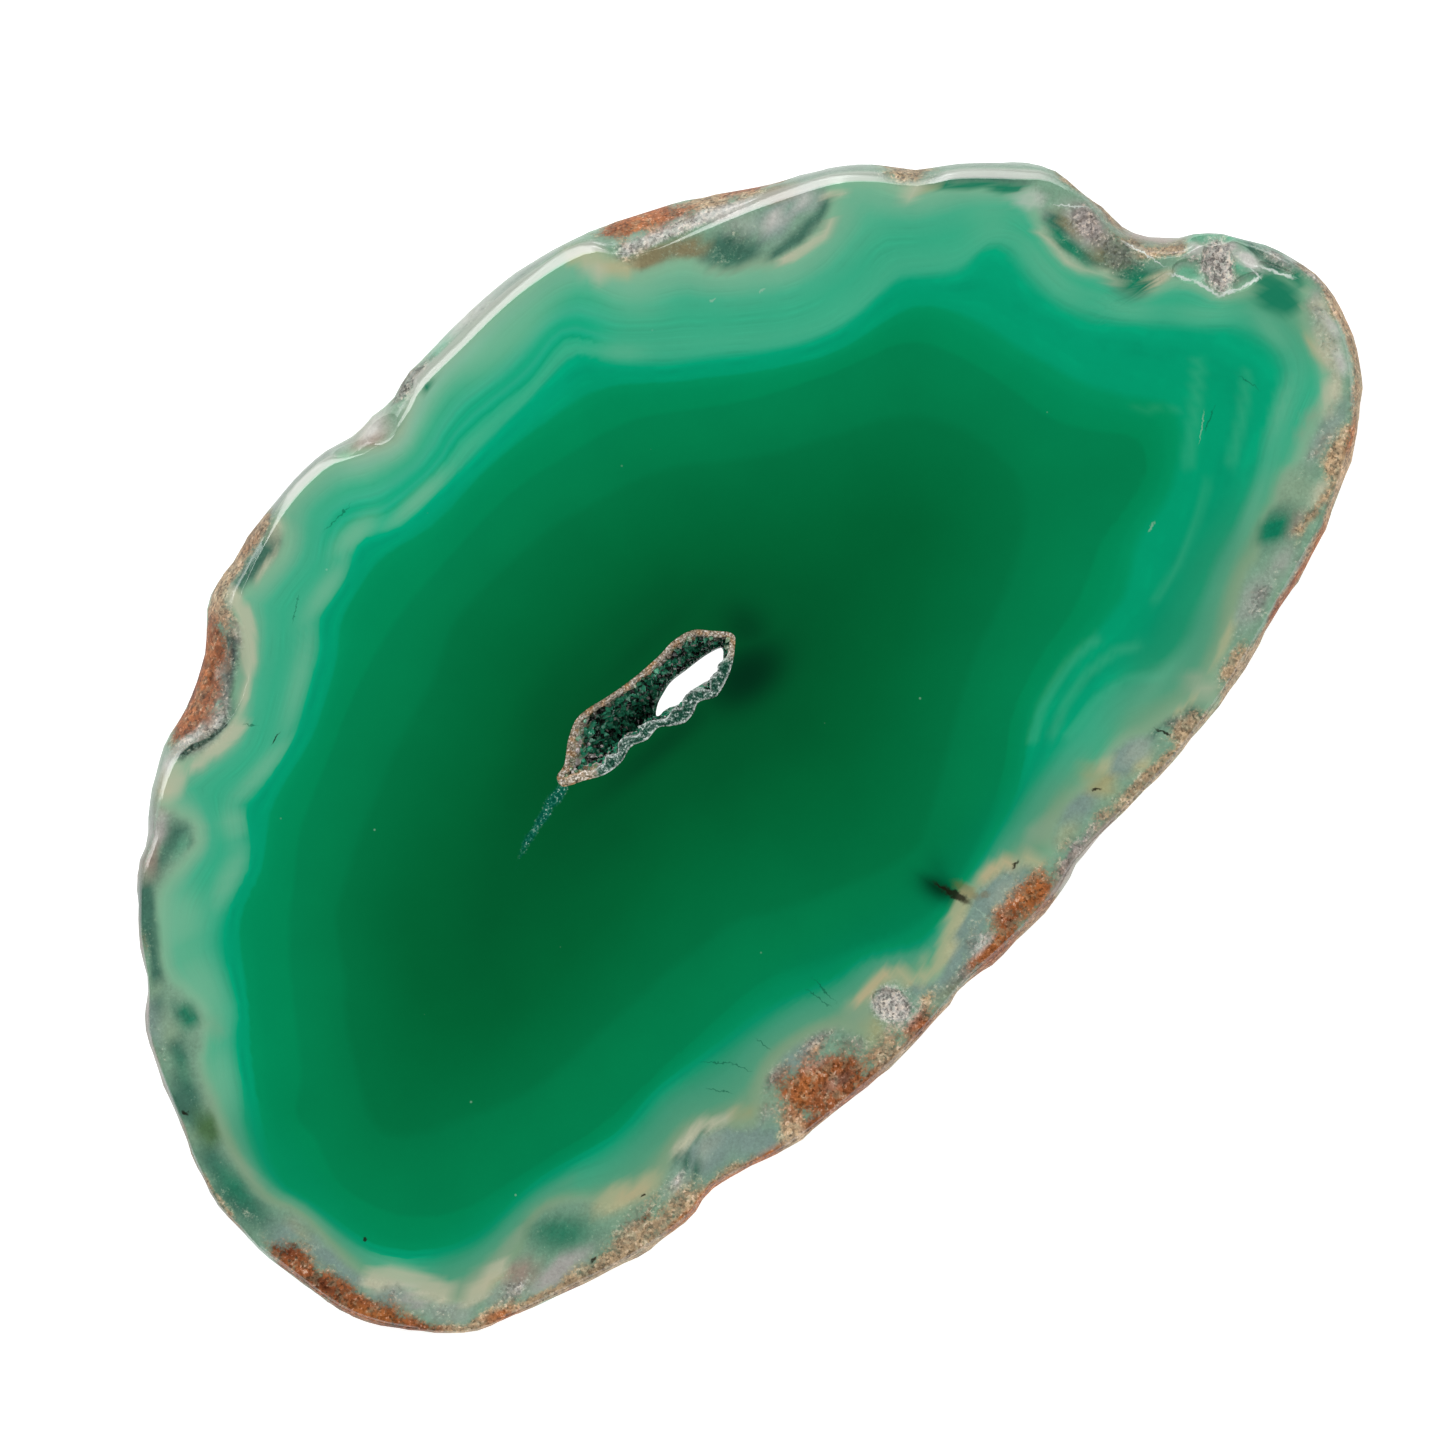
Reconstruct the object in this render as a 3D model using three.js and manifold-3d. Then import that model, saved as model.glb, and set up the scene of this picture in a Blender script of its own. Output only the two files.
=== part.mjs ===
// An agate slice: a thin slab sawn across a nodule and polished, with its natural rind round
// the edge, chips in that edge, and a small crystal-lined hollow that runs right through it.
// Millimetres. +X is the long way of the slice and +Z points out of its polished face.
import * as THREE from 'three';
import { mergeVertices } from 'three/addons/utils/BufferGeometryUtils.js';
import { ImprovedNoise } from 'three/addons/math/ImprovedNoise.js';
import Module from 'manifold-3d';

const wasm = await Module();
wasm.setup();

// Driving dimensions of the slice
const LENGTH = 130;
const WIDTH = 76;
const THICKNESS = 5.5;
const WIDEST_HEIGHT = 1.5;         // the level at which the rind stands out furthest
const UNDERCUT = 1.3;              // how far the back face stops short of that level, at most
const UNDERCUT_MIN = 0.4;          // and at least
const UNDERCUT_LOSS = 0.3;         // what each mm of wall above takes off the undercut
const EDGE_STEPS = 220;            // points round the rind
const SAME_POINT = 1e-3;           // points closer than this are one

// Driving dimensions of the rind's lumps
const LUMP_HEIGHT = 0.34;
const LUMP_SPACING = 3.4;
const GRIT_HEIGHT = 0.14;
const GRIT_SPACING = 1.1;
const CALM_BELT = 0.08;            // share of the thickness by each face where the lumps are least

// Driving dimensions of the hollow and the crystals in it
const HOLLOW_STEPS = 84;           // points round the hollow
const CRUST_GAP = 0.35;            // clear space between the stone and the crust
const CRUST_WALL = 0.95;           // thickness of the crust on the polished face
const CRUST_FOOT = 0.9;            // thickness of the crust on the back face
const CRYSTAL_ROWS = 3;            // rows of crystals between the two faces
const CRYSTALS_PER_ROW = 26;
const CRYSTAL_RADIUS = 0.42;
const CRYSTAL_LENGTH = 0.75;
const CRYSTAL_ROOT = 0.5;
const PRISM_SHARE = 0.35;          // share of a crystal's length that is prism, below its point
const CRYSTAL_LEAN = 0.8;          // how far a crystal may lean from its way out of the wall
const SIZE_SPREAD = 0.7;
const OVERRUN = 0.4;               // how far a cutting plug passes the two faces

// The rind seen along Z, clockwise from the left end. The third number is the width of the wall
// that shows between the rind's outline and the polished face.
const RIND = [
  [-65.1, -5.9, 0.6], [-64.0, -2.0, 0.6], [-62.4, 2.0, 0.6], [-60.9, 6.0, 0.7],
  [-58.8, 10.4, 0.7], [-56.0, 13.3, 0.6], [-53.2, 17.4, 0.7], [-49.0, 22.0, 1.1],
  [-46.8, 23.1, 1.1], [-44.0, 25.8, 1.3], [-39.8, 28.1, 1.8], [-37.0, 29.1, 3.5],
  [-34.0, 30.4, 4.2], [-31.9, 31.8, 4.0], [-28.0, 35.0, 2.6], [-24.0, 36.1, 1.5],
  [-20.0, 37.1, 1.4], [-14.0, 37.8, 1.4], [-11.5, 37.7, 1.5], [-8.4, 37.0, 2.2],
  [-6.0, 37.2, 2.8], [-4.0, 37.0, 2.2], [-2.0, 37.6, 2.0], [4.0, 38.0, 2.1],
  [12.0, 37.7, 1.9], [18.9, 36.2, 2.0], [21.4, 35.1, 3.0], [24.0, 33.9, 3.6],
  [28.0, 31.8, 3.2], [34.0, 28.2, 2.0], [40.0, 24.9, 1.7], [42.7, 22.7, 1.8],
  [45.0, 19.8, 1.6], [47.8, 18.0, 1.6], [52.0, 14.2, 1.7], [54.1, 11.3, 1.3],
  [54.9, 7.0, 1.0], [55.1, 3.3, 1.4], [57.4, -0.2, 2.0], [60.0, -2.0, 1.2],
  [62.0, -4.2, 0.8], [63.8, -7.5, 0.8], [65.1, -12.5, 0.8], [64.0, -17.5, 1.2],
  [62.0, -20.9, 1.2], [58.0, -24.7, 1.0], [50.0, -29.1, 0.9], [42.0, -31.7, 0.9],
  [34.0, -33.8, 0.7], [26.0, -35.1, 0.5], [19.5, -35.5, 0.5], [13.2, -35.8, 0.5],
  [9.2, -37.1, 0.8], [2.0, -37.4, 0.8], [-1.1, -37.1, 0.6], [-10.5, -37.9, 0.5],
  [-16.5, -37.6, 0.5], [-24.0, -36.9, 0.5], [-31.2, -35.0, 0.5], [-33.8, -35.5, 0.5],
  [-40.0, -34.8, 0.5], [-48.0, -32.5, 0.5], [-52.0, -31.2, 0.5], [-56.0, -29.5, 0.5],
  [-60.0, -25.7, 0.6], [-63.0, -20.8, 0.6], [-64.6, -13.2, 0.6], [-65.0, -11.3, 0.6],
  [-64.9, -8.3, 0.6],
];

// The mouth of the hollow on the polished face, clockwise from its left tip: a straight upper
// side, a pointed right end and a scalloped lower side.
const MOUTH = [
  [-16.4, 0.9], [-16.1, 1.8], [-15.0, 2.1], [-13.0, 3.6], [-11.3, 4.4], [-10.0, 4.4],
  [-8.0, 4.0], [-5.0, 3.6], [-2.0, 3.5], [0.0, 3.6], [1.9, 3.1], [3.0, 2.0],
  [4.3, 0.3], [3.5, -0.7], [2.0, -1.8], [0.0, -2.6], [-0.7, -2.7], [-2.2, -2.0],
  [-3.2, -2.4], [-4.3, -2.5], [-5.4, -1.9], [-6.4, -1.2], [-7.9, -1.3], [-9.3, -0.8],
  [-11.0, -1.2], [-12.8, -1.0], [-14.6, -0.1],
];

// A point inside both the mouth and the opening, from which every point of them can be seen.
const MIDDLE = [-3.5, 0];

// The opening that is left right through the crust, clockwise from its left tip.
const OPENING = [
  [-5.8, -0.3], [-5.0, 0.4], [-3.9, 0.8], [-2.8, 1.05], [-1.0, 0.9], [1.0, 0.7],
  [2.1, 0.45], [2.7, 0.15], [2.3, -0.45], [1.5, -1.05], [-0.8, -1.15], [-3.0, -1.25],
  [-4.4, -1.35], [-5.2, -0.8],
];

// Chips and pits broken out of the polished face: middle, half sizes, turn about Z in degrees,
// and how many times the facets of the tool that cuts them are divided.
const CHIPS = {
  recess_in_rind: { at: [-33.6, 32.2, 5.9], half: [6.8, 3.6, 2.6], turn: 32, detail: 1 },
  layered_chip_left: { at: [-8.9, 37.6, 5.4], half: [2.6, 2.1, 1.2], turn: -8, detail: 0 },
  layered_chip_middle: { at: [-5.9, 36.9, 5.7], half: [2.6, 3.1, 1.1], turn: 10, detail: 0 },
  layered_chip_right: { at: [-2.9, 37.8, 5.4], half: [2.6, 2.2, 1.1], turn: 20, detail: 0 },
  break_on_shoulder: { at: [43.9, 21.3, 5.6], half: [2.0, 1.7, 1.1], turn: -48, detail: 0 },
  glassy_chip_floor: { at: [58.9, -5.2, 5.9], half: [2.9, 3.5, 1.9], turn: 24, detail: 0 },
  glassy_chip_corner: { at: [57.0, -3.6, 5.7], half: [2.2, 1.5, 0.9], turn: -38, detail: 0 },
  glassy_chip_tail: { at: [62.2, -8.0, 5.7], half: [0.7, 3.2, 0.9], turn: 24, detail: 0 },
  wall_scoop_by_chip: { at: [60.4, -2.6, 5.2], half: [2.6, 1.4, 1.5], turn: -38, detail: 0 },
  round_pit: { at: [-8.0, -33.8, 5.7], half: [1.5, 2.1, 0.9], turn: 12, detail: 1 },
};

const noise = new ImprovedNoise();

// The outline's points, evenly spaced and anticlockwise, with what the third number gives.
function walkOutline(points, steps) {
  const corners = points.map(([x, y, extra = 0]) => new THREE.Vector3(x, y, extra));
  const curve = new THREE.CatmullRomCurve3(corners.reverse(), true, 'centripetal');
  return curve.getSpacedPoints(steps).slice(0, steps);
}

// The direction out of the outline at each of its points.
function outwardDirections(points) {
  return points.map((_, i) => {
    const before = points.at(i - 2);
    const after = points[(i + 2) % points.length];
    return new THREE.Vector2(after.y - before.y, before.x - after.x).normalize();
  });
}

// A closed body whose rings are given by ringPoint(index, level). It is a cylinder at first,
// and each of its points is then moved to the ring and level that it stands for.
function bodyFromRings(steps, levels, middles, ringPoint) {
  const geometry = new THREE.CylinderGeometry(1, 1, 1, steps, levels - 1);
  geometry.rotateX(Math.PI / 2);
  const position = geometry.attributes.position;
  for (let i = 0; i < position.count; i += 1) {
    const x = position.getX(i);
    const y = position.getY(i);
    const level = Math.round((position.getZ(i) + 0.5) * (levels - 1));
    const angle = Math.atan2(y, x) / (2 * Math.PI);
    const index = Math.round((angle + 1) * steps) % steps;
    const onAxis = Math.hypot(x, y) < 0.5;
    const point = onAxis ? middles[level === 0 ? 0 : 1] : ringPoint(index, level);
    position.setXYZ(i, point.x, point.y, point.z);
  }
  return solidFrom(geometry);
}

function solidFrom(geometry) {
  geometry.deleteAttribute('normal');
  geometry.deleteAttribute('uv');
  const merged = mergeVertices(geometry, SAME_POINT);
  return new wasm.Manifold(new wasm.Mesh({
    numProp: 3,
    vertProperties: new Float32Array(merged.attributes.position.array),
    triVerts: new Uint32Array(merged.index.array),
  }));
}

// The largest of the closed shells that a solid is made of: it leaves out the crumbs that a cut
// sets loose and the bubbles shut in between crystals.
function largestShell(solid) {
  const shells = solidFrom(geometryFrom(solid)).decompose();
  return shells.reduce((best, shell) => (shell.volume() > best.volume() ? shell : best));
}

function geometryFrom(solid) {
  const mesh = solid.getMesh();
  const geometry = new THREE.BufferGeometry();
  geometry.setAttribute('position', new THREE.BufferAttribute(mesh.vertProperties, 3));
  geometry.setIndex(new THREE.BufferAttribute(mesh.triVerts, 1));
  return geometry;
}

// The wall's levels, from the back face up: height, share of the undercut and share of the
// wall that shows. Below the widest level and above it the wall follows a quarter ellipse.
function wallLevels() {
  const below = [90, 55, 25].map((degrees) => {
    const angle = THREE.MathUtils.degToRad(degrees);
    return { z: WIDEST_HEIGHT * (1 - Math.sin(angle)), under: 1 - Math.cos(angle), over: 0 };
  });
  const above = [0, 20, 40, 58, 75, 90].map((degrees) => {
    const angle = THREE.MathUtils.degToRad(degrees);
    const rise = (THICKNESS - WIDEST_HEIGHT) * Math.sin(angle);
    return { z: WIDEST_HEIGHT + rise, under: 0, over: 1 - Math.cos(angle) };
  });
  return [...below, ...above];
}

// Lumps and grit of the rind: they are full at its widest level and die out at the two faces.
function rindLump(x, y, z) {
  const freedom = Math.sin(Math.PI * THREE.MathUtils.clamp(z / THICKNESS, CALM_BELT, 1 - CALM_BELT));
  const lumps = LUMP_HEIGHT * noise.noise(x / LUMP_SPACING, y / LUMP_SPACING, z / LUMP_SPACING);
  const grit = GRIT_HEIGHT * noise.noise(x / GRIT_SPACING, y / GRIT_SPACING, z / GRIT_SPACING);
  return freedom * (lumps + grit);
}

function slabBlank() {
  const outline = walkOutline(RIND, EDGE_STEPS);
  const outward = outwardDirections(outline);
  const levels = wallLevels();
  const middles = [new THREE.Vector3(0, 0, 0), new THREE.Vector3(0, 0, THICKNESS)];
  return bodyFromRings(EDGE_STEPS, levels.length, middles, (index, level) => {
    const { z, under, over } = levels[level];
    const { x, y, z: wall } = outline[index];
    const undercut = Math.max(UNDERCUT - wall * UNDERCUT_LOSS, UNDERCUT_MIN);
    const out = rindLump(x, y, z) - under * undercut - over * wall;
    return new THREE.Vector3(x + out * outward[index].x, y + out * outward[index].y, z);
  });
}

function chipTool({ at, half, turn, detail }) {
  const geometry = new THREE.IcosahedronGeometry(1, detail);
  geometry.scale(...half);
  geometry.rotateZ(THREE.MathUtils.degToRad(turn));
  geometry.translate(...at);
  return solidFrom(geometry);
}

// A plug of the hollow's form: the mouth on the polished face, brought in by the first inset,
// tapers to the opening on the back face, let out by the second. With an overrun it goes on
// straight past both faces.
function hollowPlug(mouthInset, openingOutset, overrun) {
  const mouth = walkOutline(MOUTH, HOLLOW_STEPS);
  const opening = walkOutline(OPENING, HOLLOW_STEPS);
  const mouthOut = outwardDirections(mouth);
  const openingOut = outwardDirections(opening);
  const heights = [0, THICKNESS];
  if (overrun > 0) {
    heights.unshift(-overrun);
    heights.push(THICKNESS + overrun);
  }
  const middles = [heights.at(0), heights.at(-1)].map((z) => new THREE.Vector3(...MIDDLE, z));
  return bodyFromRings(HOLLOW_STEPS, heights.length, middles, (index, level) => {
    const z = heights[level];
    const low = z <= 0;
    const from = low ? opening[index] : mouth[index];
    const out = low ? openingOut[index] : mouthOut[index];
    const shift = low ? openingOutset : -mouthInset;
    return new THREE.Vector3(from.x + shift * out.x, from.y + shift * out.y, z);
  });
}

// One quartz point: a six-sided prism with a pointed end, standing along +Z on its root.
function crystalPoint(radius, length) {
  const profile = [
    new THREE.Vector2(0, -CRYSTAL_ROOT),
    new THREE.Vector2(radius, -CRYSTAL_ROOT),
    new THREE.Vector2(radius, length * PRISM_SHARE),
    new THREE.Vector2(0, length),
  ];
  const geometry = new THREE.LatheGeometry(profile, 6);
  geometry.rotateX(Math.PI / 2);
  return geometry;
}

function agateSlice() {
  let stone = slabBlank();
  for (const chip of Object.values(CHIPS)) {
    stone = stone.subtract(chipTool(chip));
  }
  return largestShell(stone.subtract(hollowPlug(0, CRUST_GAP + CRUST_FOOT, OVERRUN)));
}

// One crystal on the inner wall of the crust: rise is 0 on the back face and 1 on the polished
// one, lower and upper are the ends of the wall there, and chance gives its irregularity.
function crystalOnWall(lower, upper, inward, rise, chance) {
  const inset = (CRUST_GAP + CRUST_WALL) * rise;
  const foot = new THREE.Vector3(
    THREE.MathUtils.lerp(lower.x, upper.x, rise) + inward.x * inset,
    THREE.MathUtils.lerp(lower.y, upper.y, rise) + inward.y * inset,
    THICKNESS * rise,
  );
  const lean = new THREE.Vector3(
    inward.x + CRYSTAL_LEAN * chance(5.3),
    inward.y + CRYSTAL_LEAN * chance(7.9),
    CRYSTAL_LEAN * (1 + chance(9.7)),
  ).normalize();
  const scale = 1 + SIZE_SPREAD * chance(11.3);
  const geometry = crystalPoint(CRYSTAL_RADIUS * scale, CRYSTAL_LENGTH * scale);
  const upright = new THREE.Vector3(0, 0, 1);
  geometry.applyQuaternion(new THREE.Quaternion().setFromUnitVectors(upright, lean));
  geometry.translate(foot.x, foot.y, foot.z);
  return solidFrom(geometry);
}

// The druse: a tapering ring that lines the hollow, with rows of quartz points on its inner
// wall. It is trimmed to the hollow less the gap, and the opening through it stays clear.
function crystalCrust() {
  const envelope = hollowPlug(CRUST_GAP, CRUST_FOOT, 0);
  let crust = envelope.subtract(hollowPlug(CRUST_GAP + CRUST_WALL, 0, OVERRUN));
  const mouth = walkOutline(MOUTH, CRYSTALS_PER_ROW);
  const opening = walkOutline(OPENING, CRYSTALS_PER_ROW);
  const mouthOut = outwardDirections(mouth);
  for (let row = 0; row < CRYSTAL_ROWS; row += 1) {
    for (let step = 0; step < CRYSTALS_PER_ROW; step += 1) {
      const chance = (seed) => noise.noise(step * 0.73 + seed, row * 1.37, seed * 0.51);
      const rise = (row + 0.6 + 0.5 * chance(3.1)) / CRYSTAL_ROWS;
      const inward = mouthOut[step].clone().negate();
      crust = crust.add(crystalOnWall(opening[step], mouth[step], inward, rise, chance));
    }
  }
  return largestShell(crust.intersect(envelope).subtract(clearWay()));
}

// The clear way that is left through the crust, straight up and down.
function clearWay() {
  const opening = walkOutline(OPENING, HOLLOW_STEPS);
  const ends = [-OVERRUN, THICKNESS + OVERRUN];
  const middles = ends.map((z) => new THREE.Vector3(...MIDDLE, z));
  return bodyFromRings(HOLLOW_STEPS, ends.length, middles, (index, level) => (
    new THREE.Vector3(opening[index].x, opening[index].y, ends[level])
  ));
}

const STONE = new THREE.MeshStandardMaterial({
  color: '#0b7a4d',
  roughness: 0.15,
  metalness: 0,
  flatShading: true,
});

const DRUSE = new THREE.MeshStandardMaterial({
  color: '#6d7f74',
  roughness: 0.45,
  metalness: 0,
  flatShading: true,
});

function named(name, geometry, material) {
  const mesh = new THREE.Mesh(geometry, material);
  mesh.name = name;
  return mesh;
}

const stoneGeometry = geometryFrom(agateSlice());
const crustGeometry = geometryFrom(crystalCrust());
stoneGeometry.computeBoundingBox();
const box = stoneGeometry.boundingBox;
const size = box.getSize(new THREE.Vector3());
const centre = box.getCenter(new THREE.Vector3());
for (const geometry of [stoneGeometry, crustGeometry]) {
  geometry.translate(-centre.x, -centre.y, -box.min.z);
  geometry.scale(LENGTH / size.x, WIDTH / size.y, 1);
}

const agate = new THREE.Group();
agate.add(named('agate_slice', stoneGeometry, STONE));
agate.add(named('crystal_crust', crustGeometry, DRUSE));

export default agate;
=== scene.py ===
import functools
import math

import bpy
import numpy as np
from mathutils import Matrix, Vector, kdtree, noise


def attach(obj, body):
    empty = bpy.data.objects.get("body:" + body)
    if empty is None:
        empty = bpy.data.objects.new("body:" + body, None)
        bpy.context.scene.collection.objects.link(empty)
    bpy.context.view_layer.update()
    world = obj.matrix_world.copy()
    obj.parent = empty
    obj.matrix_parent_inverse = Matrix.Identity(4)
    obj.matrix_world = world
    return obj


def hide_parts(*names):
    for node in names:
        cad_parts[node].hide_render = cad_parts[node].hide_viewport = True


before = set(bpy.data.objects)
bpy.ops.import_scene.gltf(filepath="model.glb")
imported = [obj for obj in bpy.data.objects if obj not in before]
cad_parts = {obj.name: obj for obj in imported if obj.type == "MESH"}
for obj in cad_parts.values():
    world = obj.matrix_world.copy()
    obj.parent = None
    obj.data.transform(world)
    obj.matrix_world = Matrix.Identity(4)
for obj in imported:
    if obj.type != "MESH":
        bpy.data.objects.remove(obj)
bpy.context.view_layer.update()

# All sizes below are millimetres in the part's own frame, and MM turns them into metres.
# +X is the long way of the slice and +Z points out of its polished face.
MM = 0.001
THICKNESS = 5.5
HALF_LENGTH = 65
HALF_WIDTH = 38
WIDEST_HEIGHT = 1.5      # the level at which the rind stands out furthest
UNDERCUT = 1.3           # how far the back face stops short of that level, at most
UNDERCUT_MIN = 0.4
UNDERCUT_LOSS = 0.3      # what each mm of wall above takes off the undercut
CRUST_FOOT = 0.9         # thickness of the druse on the back face
ARRIS_SLOPE = 0.55       # fall of the polished arris for each mm of its width

# The lattice of the slab: points round it, and rows across it
AROUND = 760
FACE_ROWS = 78
WALL_ROWS = 9
FOOT_ROWS = 4
BACK_ROWS = 12
HOLLOW_ROWS = 4
EDGE_POINTS = 1200       # points on each growth band's edge
BLOCK = 4000             # how many points are looked at in one go, to save memory
SLAB_SHARP = 19          # the fold in degrees from which an edge of the slab looks sharp
CRUST_SHARP = 30         # and one of the crust
CUT_DEPTH = 0.02         # what lies this far below the polished face may be a chip

# The camera of the photograph: straight above, turned about the view
PHOTO_MM = 130.2         # what the photograph's width measures on the slice
PHOTO_TURN = 43          # how far +X points anticlockwise from the picture's right
PHOTO_CENTRE = (-1.84, -4.81)
LENS_MM = 250
SENSOR_MM = 36

# The rind seen along Z, clockwise from the left end. The third number is the width of the wall
# that shows between the rind's outline and the polished face, and the fourth how much of it is
# the polished arris.
RIND = [
    (-65, -5.9, 0.6, 0.2), (-64, -2, 0.6, 0.2), (-62.4, 2, 0.6, 0.2), (-60.9, 6, 0.7, 0.2),
    (-58.8, 10.4, 0.7, 0.2), (-56, 13.3, 0.6, 0.2), (-53.2, 17.4, 0.7, 0.2), (-49, 22, 1.1, 0.25),
    (-46.8, 23.1, 1.1, 0.25), (-44, 25.8, 1.3, 0.3), (-39.8, 28.1, 1.8, 0.4), (-37, 29.1, 3.8, 0),
    (-34, 30.4, 4.6, 0), (-31.9, 31.8, 4.5, 0), (-28, 35, 2.9, 0), (-24, 36.1, 2, 0.05),
    (-20, 37.1, 1.7, 0.15), (-17, 37.5, 1.4, 0.55), (-14, 37.75, 1.4, 0.65), (-11.5, 37.65, 1.5, 0.5),
    (-8.4, 37, 2.2, 0), (-6, 37.2, 2.8, 0), (-4, 37, 2.2, 0.3), (-2, 37.55, 2, 0.5), (4, 37.95, 2.1, 0.5),
    (12, 37.7, 1.9, 0.6), (18.9, 36.2, 2, 0.85), (21.4, 35.1, 3, 0), (24, 33.9, 3.6, 0),
    (28, 31.8, 3.2, 0.3), (34, 28.2, 2, 0.65), (40, 24.9, 1.7, 0.65), (42.7, 22.7, 1.8, 0.5),
    (45, 19.8, 1.6, 0.3), (47.8, 18, 1.6, 0.6), (52, 14.2, 1.7, 0.65), (54.1, 11.3, 1.3, 0.4),
    (54.9, 7, 1, 0.1), (55.1, 3.3, 1.4, 0.1), (57.4, -0.2, 2, 0), (60, -2, 1.2, 0.1), (62, -4.2, 0.8, 0.2),
    (63.8, -7.5, 0.8, 0.2), (65, -12.5, 0.8, 0.25), (64, -17.5, 1.2, 0.2), (62, -20.9, 1.2, 0.2),
    (58, -24.7, 1, 0.2), (50, -29.1, 0.9, 0.2), (42, -31.7, 0.9, 0.2), (34, -33.8, 0.7, 0.2),
    (26, -35.1, 0.5, 0.2), (19.5, -35.5, 0.5, 0.2), (13.2, -35.8, 0.5, 0.2), (9.2, -37.1, 0.8, 0.2),
    (2, -37.4, 0.8, 0.2), (-1.1, -37.1, 0.6, 0.2), (-10.5, -37.9, 0.5, 0.2), (-16.5, -37.6, 0.5, 0.2),
    (-24, -36.9, 0.5, 0.2), (-31.2, -35, 0.5, 0.2), (-33.8, -35.5, 0.5, 0.2), (-40, -34.8, 0.5, 0.2),
    (-48, -32.5, 0.5, 0.2), (-52, -31.2, 0.5, 0.2), (-56, -29.5, 0.5, 0.2), (-60, -25.7, 0.6, 0.2),
    (-63, -20.8, 0.6, 0.2), (-64.6, -13.2, 0.6, 0.2), (-64.95, -11.3, 0.6, 0.2), (-64.85, -8.3, 0.6, 0.2),
]

# The mouth of the hollow on the polished face and the opening left through its druse, both
# clockwise from the left tip.
MOUTH = [
    (-16.4, 0.9), (-16.1, 1.8), (-15, 2.1), (-13, 3.6), (-11.3, 4.4), (-10, 4.4), (-8, 4), (-5, 3.6),
    (-2, 3.5), (0, 3.6), (1.9, 3.1), (3, 2), (4.3, 0.3), (3.5, -0.7), (2, -1.8), (0, -2.6), (-0.7, -2.7),
    (-2.2, -2), (-3.2, -2.4), (-4.3, -2.5), (-5.4, -1.9), (-6.4, -1.2), (-7.9, -1.3), (-9.3, -0.8),
    (-11, -1.2), (-12.8, -1), (-14.6, -0.1),
]
OPENING = [
    (-5.8, -0.3), (-5, 0.4), (-3.9, 0.8), (-2.8, 1.05), (-1, 0.9), (1, 0.7), (2.1, 0.45), (2.7, 0.15),
    (2.3, -0.45), (1.5, -1.05), (-0.8, -1.15), (-3, -1.25), (-4.4, -1.35), (-5.2, -0.8),
]

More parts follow.
